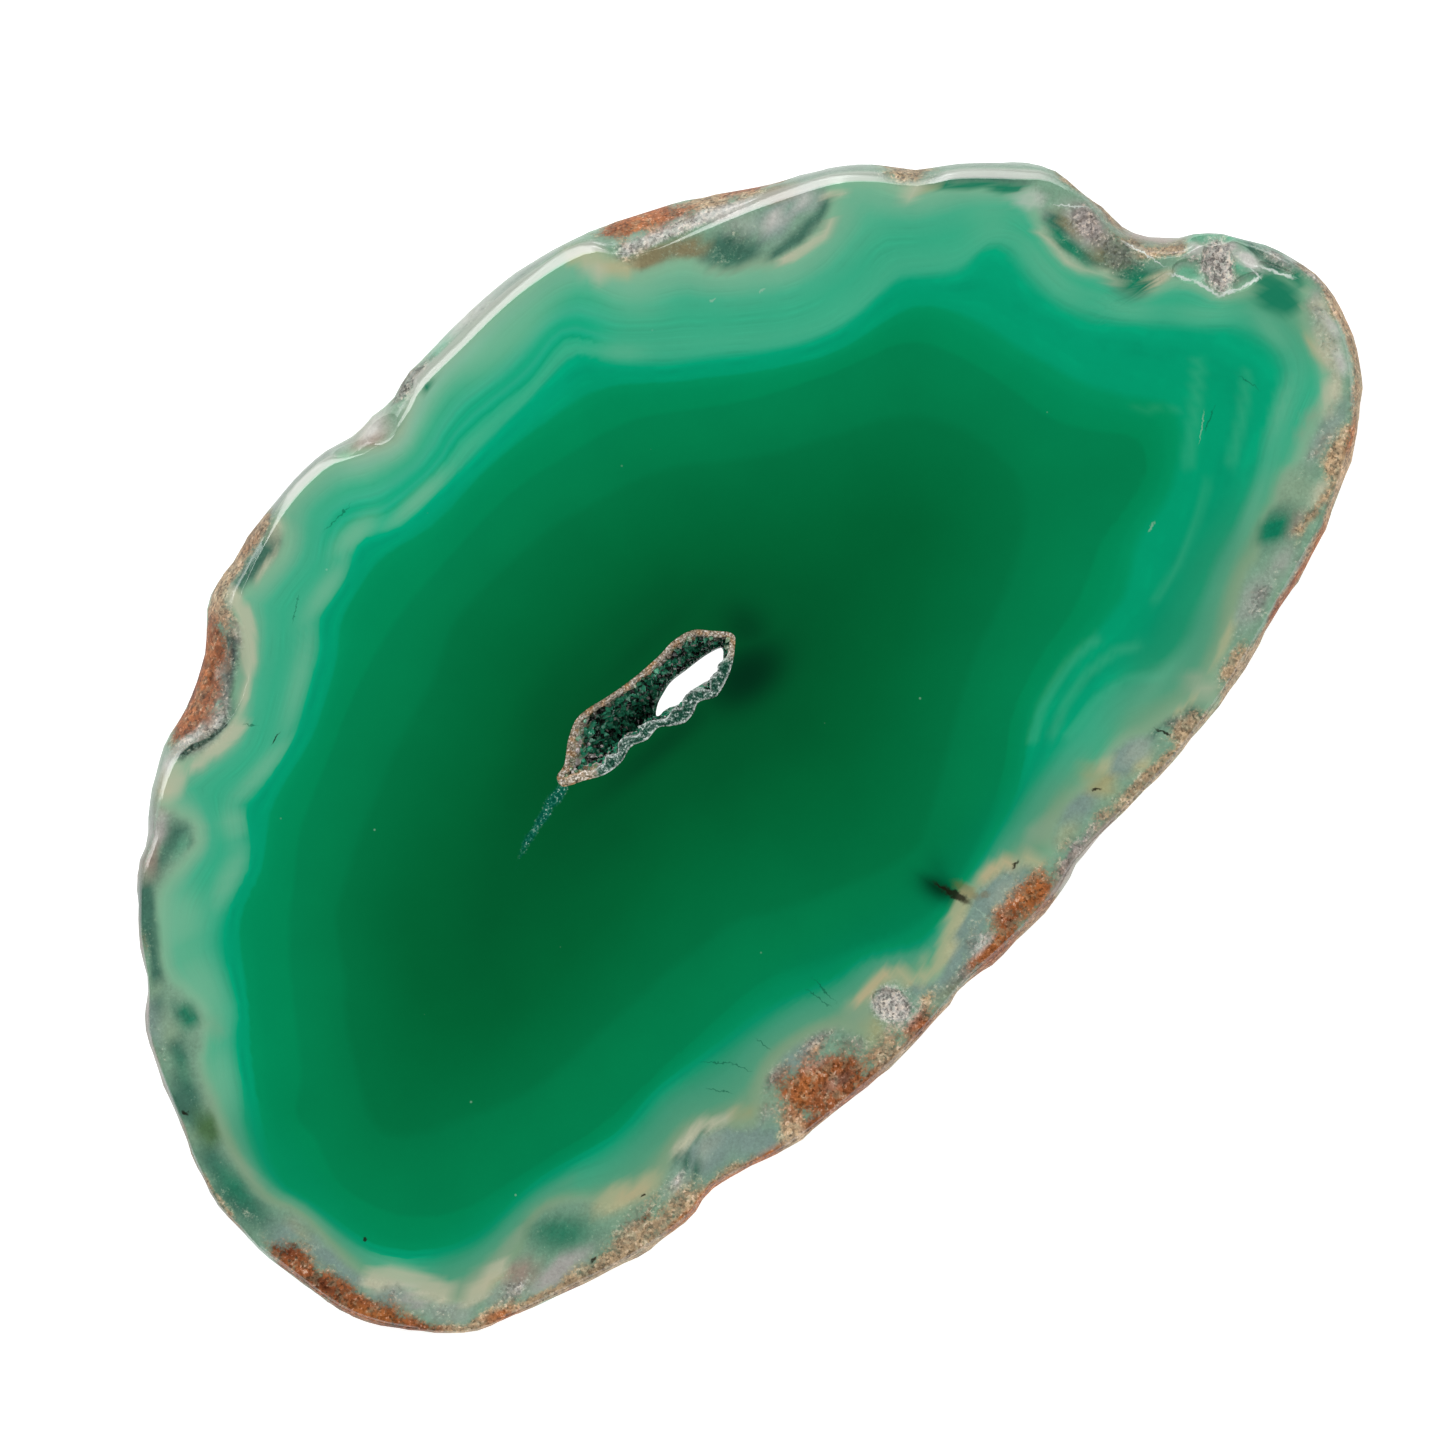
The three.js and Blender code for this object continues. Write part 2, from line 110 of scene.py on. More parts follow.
# The growth bands, from the rind inwards, each clockwise from the left. The seam is where the
# green chalcedony meets the crystalline rind.
SEAM = [
    (-61.4, -6.6), (-60.9, -4), (-60.2, -1), (-58.7, 2.2), (-57.2, 5), (-55, 6.8), (-53.9, 8.2),
    (-54, 10.3), (-54.2, 12.5), (-53, 14.8), (-51, 17.2), (-49, 18.9), (-46, 19.3), (-43.8, 19.7),
    (-43, 20.8), (-43.3, 22.4), (-43.9, 24.2), (-43, 25.2), (-41, 26.2), (-39.4, 25.6), (-37.5, 25),
    (-35, 24.8), (-33.2, 26), (-32, 27.6), (-29.7, 28.9), (-27.6, 31), (-27.2, 32.6), (-25.9, 33.6),
    (-23.4, 33.3), (-20.8, 33.5), (-19.2, 34.6), (-18.6, 36.2), (-15, 36.9), (-11.5, 36.7), (-8.6, 35.2),
    (-6, 34.1), (-3.5, 35.3), (-1, 36.3), (4, 36.6), (12, 36.5), (16.5, 35.9), (18.4, 34.6), (19.2, 33),
    (19.6, 31.4), (20.4, 29.9), (22.2, 29.2), (23.8, 28.4), (24.8, 27.3), (25.4, 26), (26.6, 24.8),
    (28.8, 23.6), (30, 22.4), (31.4, 21.9), (33.4, 21.7), (35.7, 22), (37.3, 23), (38.6, 24.2), (41.6, 22),
    (42.4, 20.4), (43.4, 18.8), (46, 17.2), (48, 15.3), (49.9, 13.3), (51.2, 11.6), (50.8, 10), (49.8, 8.2),
    (49.3, 5.6), (49.7, 3.4), (51, 1.6), (51.6, -0.4), (52.3, -2.2), (54.5, -2.9), (56, -3.8), (56.9, -5.8),
    (57.1, -7.1), (58.2, -7.9), (60, -8.2), (61.2, -8.7), (62.4, -9.6), (63.8, -11.2), (63.9, -12.6),
    (62.2, -13.2), (61.4, -14.6), (60.4, -16.6), (59.7, -18.8), (58.4, -20.6), (56, -21.6), (54, -22.3),
    (52, -23.2), (50.2, -23.2), (48.6, -24.4), (47.2, -24.6), (45.4, -25.4), (44, -26.6), (41.5, -27.3),
    (39.6, -28.4), (37.5, -29.9), (35.8, -31), (34.5, -31.2), (33.3, -32.2), (32.2, -34), (31, -34.2),
    (30, -32.4), (28, -31.9), (25.5, -31.6), (23.5, -30.8), (22, -30.8), (20.6, -31.4), (19.5, -31.8),
    (17, -31.4), (14.5, -31.7), (13, -32.4), (11.6, -34.2), (10.3, -33.6), (9.3, -32.4), (7.5, -31.6),
    (5, -31.3), (3.6, -31.7), (1, -32.5), (-1, -33.6), (-2.8, -34.9), (-4.4, -34.5), (-5.5, -33.5),
    (-6.4, -32.1), (-8, -31.8), (-9.6, -32.4), (-10.6, -34.4), (-11.8, -34), (-12.6, -32.4), (-14.4, -31.2),
    (-18, -30.5), (-20.2, -30.7), (-22.5, -32), (-24, -33.2), (-25.4, -32.7), (-26.6, -31.2),
    (-28.5, -30.1), (-31, -30), (-33, -30.9), (-35, -31.4), (-37, -30.8), (-39.2, -29.5), (-40.4, -27.8),
    (-42, -26.6), (-44, -25.9), (-46, -26.4), (-47.6, -27.4), (-49.5, -27.2), (-51, -27.7), (-53, -28),
    (-54.6, -27), (-55.7, -25.4), (-56.9, -23.6), (-57.8, -21.6), (-59, -20.2), (-59.8, -18.6),
    (-59.9, -15.6), (-59.9, -12.2), (-60.3, -10.2), (-61.2, -8.6),
]
PALE = [
    (-60.6, -6.2), (-59.5, -2.6), (-57.4, 1.6), (-55.2, 4.6), (-52.8, 6.8), (-51.6, 9.4), (-50.2, 12.4),
    (-48, 14.4), (-45.6, 15.4), (-42.6, 16.6), (-40.8, 18.4), (-39.2, 20.4), (-36.4, 20.7), (-34, 21),
    (-31.6, 22), (-28, 24.2), (-26, 25.6), (-24, 27.2), (-22.2, 28.7), (-20, 29), (-18, 29.5),
    (-16.2, 30.8), (-14.6, 31.3), (-13.2, 30.7), (-11.6, 29.7), (-9, 29.2), (-4, 29.4), (-2, 29.9),
    (2, 29.9), (6, 29.5), (11.4, 30), (12.6, 28.6), (14, 26.6), (16, 24.9), (18.2, 22.9), (20.4, 21.2),
    (22.6, 19.4), (25, 17.4), (28, 15.7), (31, 14.7), (34, 14.4), (37.6, 14.5), (39.6, 13.2), (42.4, 11.4),
    (46.2, 10.6), (47.8, 8.4), (47.6, 5), (47.9, 2.6), (49.2, 0.2), (50.2, -2.4), (52.8, -4.6),
    (55.2, -7.6), (58, -9.9), (59.3, -12.4), (59.2, -15.2), (57.8, -17.7), (54.8, -19.3), (51.4, -21.1),
    (48.6, -22.9), (45.6, -24.2), (42, -25.3), (38.6, -26.9), (35.4, -29), (32.2, -30.3), (29, -29.9),
    (25.4, -28.6), (21.6, -29), (18.2, -29.2), (15, -29.8), (11.4, -31), (8, -30.9), (4.2, -31.1),
    (1.6, -31.6), (-1.6, -33), (-4, -32.2), (-6, -30.8), (-9, -30.8), (-12.4, -30.6), (-15.4, -29.6),
    (-19.6, -29.1), (-22.8, -30), (-25.6, -29.6), (-28.8, -28.4), (-32.2, -28.8), (-36.2, -28.6),
    (-38.8, -27.2), (-42.2, -25.4), (-46.2, -25.4), (-50, -25.6), (-53.6, -25.2), (-56, -22.8),
    (-57.8, -19.8), (-59, -16), (-59.4, -11.6), (-60.3, -8.6),
]
BRIGHT = [
    (-59.6, -6.2), (-58.4, -2.8), (-56, 0.4), (-53.5, 4), (-51.3, 6), (-50, 8.6), (-48.4, 11.2),
    (-46.3, 12.9), (-42, 14.7), (-40.3, 16.3), (-38.4, 18.9), (-36, 19.2), (-32, 20.2), (-30, 21),
    (-28, 22.3), (-24, 24.7), (-22, 26.7), (-18, 27.8), (-14.6, 29.4), (-11, 27.9), (-6, 27.8), (4, 28.1),
    (11.2, 28.2), (13, 25.4), (16, 22.4), (19.6, 19.8), (23, 17.3), (27, 14.9), (31, 13.7), (37, 13.3),
    (39, 11.8), (41.4, 10.2), (45.3, 10), (45.2, 5), (45.8, 1.4), (47.4, -1.4), (50.4, -4.9), (53.4, -8.2),
    (56, -10.8), (56.8, -13.4), (56.2, -15.8), (53.6, -17.6), (50.4, -19.6), (47.4, -21.6), (44, -23),
    (40, -24.4), (36, -26.2), (31.8, -27.6), (28.4, -26.6), (25.6, -25.8), (22, -26.2), (18.6, -27),
    (15, -27.8), (12, -28.6), (9, -29.4), (5.6, -30.2), (3, -30.7), (0.2, -31.4), (-2.4, -31.7),
    (-4.8, -30.4), (-7, -29.2), (-10, -28.9), (-14, -27.6), (-18, -27), (-22, -26.6), (-26, -25.9),
    (-29, -25.5), (-32, -25.9), (-36, -25.6), (-40, -24.6), (-44, -24), (-50, -24), (-53.2, -22.6),
    (-55.6, -20.6), (-57.4, -18.2), (-58.2, -15), (-58.8, -11), (-59.6, -8.4),
]
FIRST_DARK = [
    (-58.6, -6.6), (-56.8, -3.2), (-54.4, 0.6), (-50, 6.2), (-45.4, 11.9), (-41, 13.9), (-36.4, 17.2),
    (-29.5, 19.4), (-24, 22.4), (-20.2, 25.3), (-14.3, 26.7), (-8.6, 25.8), (-1.5, 26.2), (4.6, 25.6),
    (10.8, 24.2), (17, 19.6), (23.7, 14.9), (28.4, 12.5), (36, 10.6), (37.8, 8.8), (39.8, 2.6),
    (41.6, -3.7), (43.8, -8.2), (46.1, -11.8), (44.3, -14.4), (41.4, -16.3), (36.4, -17.6), (32, -20.4),
    (28, -21.2), (23.8, -21.8), (19.7, -22.8), (16.4, -25), (13.2, -27.4), (9.4, -28.8), (5.7, -29.8),
    (1.8, -30.8), (-2, -31.2), (-6.6, -28.9), (-9.9, -28.4), (-17, -26), (-21, -25.6), (-28.7, -24.8),
    (-34, -25.2), (-42, -23.5), (-50, -23.2), (-54.4, -20.8), (-57, -17.2), (-58.2, -12), (-58.9, -9),
]
MIDDLE = [
    (-55.2, -11.5), (-54, -7.6), (-53.8, -4.6), (-51.4, -2.8), (-47.4, 2.4), (-43.9, 6.9), (-40, 10.6),
    (-36.6, 13.5), (-34.3, 14.8), (-28.6, 17.6), (-22.8, 20.1), (-14.6, 22), (-7.8, 22.8), (-0.8, 23),
    (3.6, 22.2), (11, 20.3), (15.4, 17.4), (19.8, 14.6), (26.8, 11.4), (33.8, 8.5), (36.2, 4.2), (37.4, 0),
    (38.2, -4.8), (40.4, -8.6), (42.7, -11.6), (41.6, -14.1), (38, -15.4), (34.4, -16), (31, -17.6),
    (27.6, -19), (23.4, -19.8), (17.6, -22.1), (14.4, -24.6), (11.1, -26.7), (7.6, -28.2), (2, -29.8),
    (-2.6, -29.4), (-8, -27.2), (-15, -24.3), (-25, -23.9), (-34.4, -23.8), (-42, -22.4), (-49.6, -20.4),
    (-53.6, -16.6),
]
DEEP = [
    (-49.3, -11), (-46.5, -3.9), (-44.4, -0.7), (-42.2, 1.6), (-39.1, 6.1), (-32.3, 10), (-27.8, 12),
    (-23.1, 14.1), (-18.2, 15.6), (-13.2, 18.2), (-7.2, 18.6), (-1.5, 18.4), (4.2, 17.2), (9.7, 15.4),
    (17.2, 10.1), (23.4, 7), (29, 4.1), (31.4, 0.7), (32.7, -5.4), (31.3, -8.9), (28.1, -11.6), (23.2, -14),
    (18, -16.2), (13, -19.2), (8, -22.4), (3, -24.8), (-2.6, -23.4), (-8.6, -21), (-13.4, -18.6),
    (-20, -17.8), (-28.6, -17.6), (-37.1, -17), (-43.4, -14.8),
]
CORE = [
    (-39, -6.2), (-36.1, -0.5), (-33.1, 2), (-26.2, 4.6), (-19.1, 6.9), (-14.9, 9.4), (-7.2, 10.9),
    (1.3, 10.7), (6.1, 8.7), (11, 5.4), (15.8, 1.9), (21.6, -1.2), (23, -4.2), (20.4, -6.6), (16, -9.2),
    (10.5, -11.8), (6.6, -13.8), (1.6, -14.6), (-4.4, -12.6), (-11.4, -10.4), (-22, -10.6), (-33, -10.6),
    (-37.6, -8.8),
]

# Patches and streaks on the green bands. A patch is its middle, half sizes, turn in degrees and
# strength, and a streak its half width, strength and the points of its line.
SAGE = [
    (-57, 2.6, 1.8, 4, -35, 0.7), (-53, 9.5, 2.2, 4.4, -25, 0.9), (-50, 15.6, 3.2, 2.4, 30, 0.9),
    (-44, 15.2, 3.6, 1.1, 18, 0.7), (-40.2, 18.6, 1.6, 1.6, 50, 0.7), (-35, 20.3, 5, 0.9, 5, 0.7),
    (-27, 24, 6, 1.1, 33, 0.6), (-20, 28.2, 3.6, 1, 12, 0.75), (-14.6, 30.2, 2.8, 1.1, 0, 0.8),
    (-8, 28.6, 4, 0.8, 0, 0.75), (-2, 29, 3.5, 0.9, 0, 0.25), (14.4, 25.6, 2.8, 1, -45, 0.4),
    (47.4, 5, 1.6, 5.5, 0, 0.4), (47, 12, 3, 3, 0, 0.4), (36, 19.2, 6, 2, -12, 0.3),
    (26.5, 22.8, 3, 2, -35, 0.35), (18.4, 29, 2.4, 3.4, 20, 0.5), (-24, 32.6, 3.4, 1.3, 20, 0.4),
    (8, 33.6, 6, 1.6, 0, 0.7), (50.5, -2.4, 1.5, 3, 35, 0.4), (55.4, -7.6, 3.6, 1.2, -40, 0.4),
    (58.4, -12.6, 1, 3, 0, 0.5), (54.4, -18.4, 4.2, 0.9, 28, 0.5), (46.4, -23.2, 4.4, 0.9, 28, 0.45),
    (30, -28.8, 4.5, 1, 6, 0.4), (21, -25, 4.6, 1.6, 16, 0.35), (-56.8, -19.6, 1, 2.6, 38, 0.4),
]
STREAKS = [
    (0.6, 0.8, 51.6, -10.4, 48.6, -13.2, 44.8, -16.3), (0.55, 0.8, 54, -14.2, 51.2, -16.6, 47.6, -19),
    (0.4, 0.5, 44.6, -9.6, 46.8, -11.4, 47.6, -12.6),
    (0.45, 1, 17.5, -25, 20, -23.5, 22, -22.8, 24, -22.3, 26, -22.1, 28, -22.3),
    (0.45, 0.9, 19, -26, 22, -24.6, 25, -24, 28, -24.2, 30.4, -25.2),
    (0.4, 1, 20, -27, 24, -26.3, 27, -26.7, 29.5, -28.3, 31, -29),
    (0.4, 0.7, 34, -23.4, 38, -22.4, 42, -20.6, 45, -18.8),
]
# Where the bands are painted darker, duller and plainer: a painted shade on the lower side and the ends,
# where the light falls off.
SHADED_DULL_SIDE = [
    (-20, -30, 26, 5, 0, 1), (8, -30, 12, 4, 0, 0.9), (-50, -26, 12, 4, 0, 0.9), (-60, -8, 4, 16, 0, 0.8),
    (36, -27, 14, 4.5, 18, 0.9), (60, -12, 4, 8, 0, 0.5),
]

# The kinds of smooth stone in the rind, and below them the granular ones. Each has its colour, its
# patches and its veins, and covers the ones before it. A vein is its half width, its strength and
# the points of its line.
SMOOTH_STONE = {
    "skin": ("#8ea294", [
        (-14, 37.5, 6, 0.9, 0, 1.3), (11, 37.6, 7, 1.1, -4, 1.2), (39.5, 25.6, 6, 1.2, -34, 1),
        (50, 17, 6, 1.1, -42, 0.9), (64.8, -11, 0.7, 3, 0, 0.7), (-45.5, 24.6, 3, 0.6, 35, 0.6),
    ], []),
    "slate": ("#7d958c", [
        (-62.2, -11.7, 1.8, 1.2, -10, 1.2), (-61, -14.4, 1, 2.2, 0, 1.1), (-60.5, -17.4, 0.9, 2.4, 0, 1.2),
        (-58.9, -21.6, 1.6, 1.3, 30, 1.2), (-28.8, -32, 2.8, 1.9, 0, 1.4),
        (-25.6, -33.6, 1.7, 1.8, -30, 1.2), (-24.8, -35.2, 1.7, 1, 0, 1), (-17.2, -31.4, 3, 1, 0, 1.1),
        (-4.8, -34.4, 1, 1.6, 15, 1), (-1.6, -35, 3, 1.5, 10, 1.3), (1.8, -33.6, 1.9, 1.2, 0, 1.1),
        (5.8, -33, 3.2, 1.4, 0, 1.3), (16.4, -32.4, 1.9, 1.1, 0, 1.2), (22.8, -31.9, 2.2, 1.3, 0, 1.2),
        (56.2, -22.7, 2.6, 0.8, 10, 0.9), (63.9, -8, 0.9, 2.6, 20, 1), (-57.6, 10.4, 1.3, 1.9, -30, 1.1),
        (-31.2, 28.3, 2.8, 1, 40, 1.2), (32.4, 25, 1.7, 1.4, 0, 1.2), (35.5, 24.8, 1.5, 1.3, 0, 1.2),
    ], []),
    "pewter": ("#96a597", [
        (-56, -26.8, 1.2, 2, 35, 1.1), (-51.6, -28.9, 1.8, 0.8, 0, 0.9), (6.4, -33.2, 1.7, 0.8, 0, 0.9),
        (23.6, -32.2, 1.6, 0.9, 0, 1), (40.6, -29.4, 2.6, 1.2, 15, 1.1), (60.8, -16.4, 1, 1.6, -20, 0.8),
        (55.4, -23.2, 2.6, 0.8, 14, 0.8), (-36.4, 25.9, 2.6, 0.8, 8, 0.9), (49.9, 9.9, 0.9, 1.6, 20, 0.8),
        (29.6, 26.8, 1.7, 1.5, -28, 0.9), (-28.7, -31.8, 1.5, 0.9, 15, 0.8),
        (-22.6, -33.4, 1.2, 0.9, 0, 0.6),
    ], [
        (0.7, 0.8, 60.8, -1.8, 62.6, -4.2, 64.4, -7.5, 65, -12),
    ]),
    "lilac": ("#a8a6a0", [
        (-46.2, -30.9, 3.2, 0.9, -8, 1.2), (-45.6, 22.9, 1.2, 1.1, 30, 1), (-58, -23.8, 0.9, 0.9, 30, 1.1),
        (52.6, 5.6, 1.3, 2.1, 0, 1.3), (45, -28.6, 1.7, 1.1, 15, 0.6), (-33.3, -32.6, 1.2, 0.8, 0, 0.8),
        (63.2, -13.6, 0.8, 1.6, -10, 0.7), (32.6, 25.1, 0.7, 0.6, 0, 0.9),
    ], []),
    "umber": ("#988a7d", [
        (-48.2, 21.2, 1.6, 1, 35, 1), (-7.8, 35.6, 2.6, 1.4, 8, 0.9), (5.9, 35.7, 1.2, 0.4, 0, 0.9),
        (33.9, 26.6, 1.5, 0.6, -28, 1.2), (-49, -28.6, 1.6, 1.3, 0, 1), (48.2, -27, 1.4, 0.9, 20, 0.9),
    ], [
        (0.3, 0.8, -65, -9, -65, -6, -64, -2, -62.4, 2, -60.9, 6, -58.8, 10.4, -56, 13.3, -53.2, 17.4,
         -49, 22), (0.6, 0.8, -27.6, 35.2, -24, 36.1, -19.6, 37.2),
        (0.5, 1, 9, -36.6, 13.2, -35.5, 19.5, -35.3), (0.45, 1, -31, -35, -16, -37.6, -4, -37.5, 9, -37),
        (0.5, 0.9, 36, -33.4, 50, -29.1, 58, -24.7), (0.7, 1.1, 55, 2.6, 57.2, -0.1, 59.8, -2),
        (0.5, 1, 31, 30.2, 35, 27.9),
    ]),
    "sage_stone": ("#87a388", [
        (31.8, -32.4, 1.2, 2.3, 8, 1.3), (-57.2, 8.8, 1.1, 2, -30, 0.9), (-55.6, 12.6, 1.2, 1, 0, 0.7),
        (-62, 0.6, 1.2, 0.8, 0, 0.6), (-59.2, 1.2, 0.9, 2.4, -25, 0.7), (-54, 6.4, 1, 1.4, -35, 0.6),
        (-60.8, -5.4, 0.7, 2.6, 0, 0.8), (49.8, -24.5, 1.9, 1.6, 20, 1.2), (14.2, -33, 1.6, 0.9, 0, 0.9),
        (-11, -32.6, 1.5, 1.9, 0, 0.8), (55.4, -21, 2.8, 0.7, 10, 0.9), (12.2, -31.4, 2.2, 1, 0, 1),
        (-21.4, -32.6, 1.6, 1, 0, 0.8), (-37, -31.6, 3, 0.6, 0, 0.6),
    ], [
        (0.6, 1, -54.6, -26, -50, -26.4, -46.4, -25.8),
        (0.55, 1.1, 25.6, 25.8, 27.4, 24.2, 29.2, 22.9, 30.6, 22),
        (0.6, 0.9, -29.6, -30, -26.6, -31, -24.4, -33),
    ]),
    "jade": ("#63a888", [
        (31.8, -32.4, 1.1, 2.2, 8, 0.45), (2.4, 37.3, 1.3, 0.5, 0, 1), (62, -6, 0.5, 1.8, 10, 0.7),
        (54.2, -1.4, 0.7, 0.7, 0, 0.4), (56.4, -3.9, 0.9, 0.7, -48, 1.2), (60.2, -6.6, 0.6, 1.3, 14, 1.1),
        (-45, 20.5, 1.4, 0.8, 20, 0.8),
    ], [
        (0.4, 1.1, 58.6, -1.5, 60.6, -2.8, 62.2, -4.8), (0.5, 0.8, 62.6, -5.6, 64, -8.2),
    ]),
    "smoke": ("#446f5e", [
        (-63, -6.6, 1.5, 3.4, 0, 1.1), (-62.4, -2.4, 1.2, 2.2, -14, 0.9), (-60.4, 3.2, 1.2, 2.2, -24, 1.4),
        (-57.8, 6.8, 1.1, 1.4, -28, 0.95), (-56.2, 11.4, 0.8, 1.4, -30, 0.6),
        (-31.3, 28.1, 1.3, 0.7, 40, 0.9), (-31.2, -31.8, 0.6, 1.7, 0, 0.95), (-28.6, -30.4, 2, 0.4, 0, 0.7),
        (-23.4, 34.2, 2.2, 0.7, 10, 1.6), (-20.8, 34.7, 1.1, 1, 20, 1.6), (27.6, 25.8, 2.2, 1.4, -44, 1.5),
        (25.2, 27, 1, 0.8, 0, 0.6), (52.3, -1, 1.7, 1.6, 0, 1.5), (46.6, -25.9, 2.2, 1.3, 10, 0.9),
        (-43.9, -28.4, 3.5, 2, -43, 0.7), (61, -10.8, 1.3, 1.9, 0, 0.7), (-46.6, 20.6, 2.2, 0.8, 10, 0.8),
        (-63, -3.4, 0.8, 1.6, 0, 0.8),
    ], [
        (0.6, 1.1, -54.6, 12.9, -53.6, 14.6), (0.7, 1.6, -52.6, 16, -51.5, 17.8, -50.4, 19.5),
        (0.55, 1, -55.4, 9.8, -55, 7.9), (0.7, 0.9, -44.2, 20.6, -44.6, 22.2),
        # Along the inner edge of the recess, a dark vein that is a painted shade.
        (0.4, 1.5, -34.4, 25.4, -33.3, 26.2, -32.6, 27.5, -31, 28.3, -29.2, 29.3, -28.2, 30.6),
        (0.6, 0.9, 30.4, 22.9, 33, 22.5, 36, 22.5, 37.2, 23.1), (0.5, 1.2, 50.9, 8.6, 50.5, 5.4, 51.1, 2.8),
        (0.4, 1, 62.2, -4.6, 62.6, -9.2), (0.5, 1.2, 45.2, 17.9, 48, 15.4, 51, 12.3),
        (0.35, 0.8, 26.2, -32, 28.4, -32.5, 30.3, -33.4),
    ]),
    "drab": ("#857d5e", [
        (22.2, 30.2, 2.4, 0.9, -22, 1.2), (34, 26.9, 1.8, 0.6, -28, 1.1), (52.4, 2.4, 1.4, 1.8, 10, 0.8),
        (-3, -36.4, 2.4, 0.6, 0, 0.6), (51.7, 6.6, 0.5, 1.6, 0, 0.9), (25, 28.4, 1.5, 1, -34, 1.2),
    ], []),
    "moss": ("#a0a077", [
        (19.3, -31.6, 1.1, 2, 10, 1.2), (-10.8, -34.4, 1.2, 1.5, 0, 0.9), (44.7, 17.8, 0.5, 0.4, 0, 0.9),
        (-24.2, -32, 1.3, 0.7, -20, 0.9), (-60.8, -12.4, 0.7, 1.8, 0, 0.5), (8, -30.8, 3, 0.4, -8, 0.4),
        (-40.4, -25.6, 2.4, 0.5, -12, 0.3),
    ], []),
    "straw": ("#b2b28c", [
        (14, -33.2, 1.3, 0.8, 0, 0.5), (-3, -32.6, 1.4, 0.7, -10, 0.5), (0.6, -31.6, 0.8, 0.4, 0, 0.6),
        (-38, -29.7, 2.2, 1.1, -12, 1.2), (-35.2, -30.5, 1.5, 0.8, -8, 1), (23.3, -33.4, 1.1, 0.5, 0, 1.1),
        (20.6, -31, 1, 0.5, 0, 0.9), (-42.5, 24.8, 0.9, 0.5, 20, 0.9), (-34, -33, 1, 0.5, 0, 0.5),
    ], [
        (0.56, 1.2, -10.4, -31.4, -8.4, -31.2, -6.6, -31.4, -5.6, -32.6, -4.4, -33.8, -3.2, -34.2, -1.2,
         -33.6, 0.6, -32.4, 2.2, -31.7, 3.4, -31.2),
        (0.55, 1.1, 5.2, -30.9, 7.6, -31.2, 9.2, -32, 10.4, -33.4),
        (0.95, 0.9, 16.9, 35.2, 18.2, 33.8, 18.7, 32.2, 19.3, 30.8), (0.35, 0.8, 28.4, -32.2, 30.6, -32.1),
        (0.4, 0.8, 34.2, -31, 36.4, -30.3, 38, -29.4),
    ]),
    "peach": ("#beae88", [
        (-36.6, -30.4, 1.6, 0.6, -12, 0.9), (19.4, 31.6, 0.9, 1.2, 0, 0.7), (-24.6, -31, 0.9, 0.5, 0, 0.6),
        (54.3, -2.6, 0.9, 0.5, -10, 0.9), (-51.9, -27.4, 1.9, 0.6, -14, 0.9),
    ], [
        (0.4, 0.9, -10, -31.5, -8.4, -31.2, -6.6, -31.4), (0.35, 0.8, 5.6, -30.9, 7.6, -31.2, 9, -31.9),
        (0.4, 0.7, 60.4, -15.2, 59.8, -18.4),
    ]),
    "cream": ("#bdbda3", [
        (58.7, -20.4, 1.9, 0.8, 30, 1.2), (61, -17.4, 1, 1.9, -22, 1.2), (62.9, -14.6, 1.1, 1.3, 0, 0.9),
        (43.1, 18.6, 1.1, 1.1, 40, 1), (-42, 25, 1.9, 1, 28, 1.3), (-19.4, 35.2, 0.8, 0.9, 0, 0.9),
        (32, -32.3, 1.2, 1.8, 8, 0.6), (17.6, 33, 0.9, 1.8, -25, 0.9), (51.6, -26.4, 1.3, 0.9, 20, 0.9),
        (54.4, -2.6, 0.9, 0.4, -10, 1),
    ], [
        (0.85, 1.5, -59, -20, -57.6, -20.9, -56.4, -22.9, -55.2, -25.4),
        (0.65, 1.4, -53.8, -27.2, -51.6, -27.4, -49.9, -26.9),
        (0.45, 1.1, -30.8, -30.1, -28, -29.9, -26.4, -31),
        (0.65, 1.5, -26.3, 33.6, -26.4, 32.2, -27.4, 30.6, -29.2, 28.3),
        (0.5, 1.1, -32.4, 25.8, -30.6, 27.2), (0.6, 1.1, -39.2, 24.9, -36, 24.4, -33.4, 24.8),
        (0.42, 1.2, 30.6, 21.7, 33.4, 21.2, 36.2, 21.6), (0.4, 0.8, 37.4, 23.4, 39.2, 22.3),
        (0.35, 0.7, 49.4, 8.4, 49, 5.4, 49.5, 2.8), (0.4, 0.7, 51, 1.2, 51.4, -0.8),
        (0.35, 0.7, -23.6, 33.4, -21.2, 33.6),
    ]),
    "milk": ("#c9c9c2", [
        (-40.6, 26.7, 0.9, 0.4, 20, 1.2), (50.3, 11, 0.9, 1.3, 30, 1.2), (62.6, -16.2, 0.6, 1.5, -15, 0.8),
        (61.3, -18.9, 0.6, 1.1, -25, 0.8), (-57.2, -22.6, 0.6, 1.6, 30, 0.5),
        (35.6, 24.7, 1.3, 1.1, 0, 0.62), (32.3, 25.1, 1.4, 1, 0, 0.66), (58.4, -2.6, 1.1, 0.6, -35, 1),
        (60.7, -4.5, 0.6, 0.4, -30, 1.3), (61.2, -6.6, 0.6, 1.5, 14, 1.2), (-6.6, 36.2, 1.8, 0.6, 8, 0.75),
        (6.5, 37.4, 3, 0.5, 0, 0.7),
    ], []),
    "emerald": ("#137c5c", [
        (-55, 8.8, 1.1, 1.1, 0, 0.8), (50.3, 5.6, 0.6, 3, 0, 0.9), (52.3, -1.1, 1.4, 1.2, 0, 1.2),
        (27, 25.4, 1.4, 0.9, -44, 0.35), (-62.5, -5.4, 1.3, 3.2, 0, 0.6), (-58.6, 5.6, 0.9, 2.2, -25, 0.45),
        (46.4, -25.8, 1.4, 1, 0, 1.4), (61, -10.7, 1.4, 2, 8, 1.6), (63.2, -11, 0.8, 1, 0, 0.9),
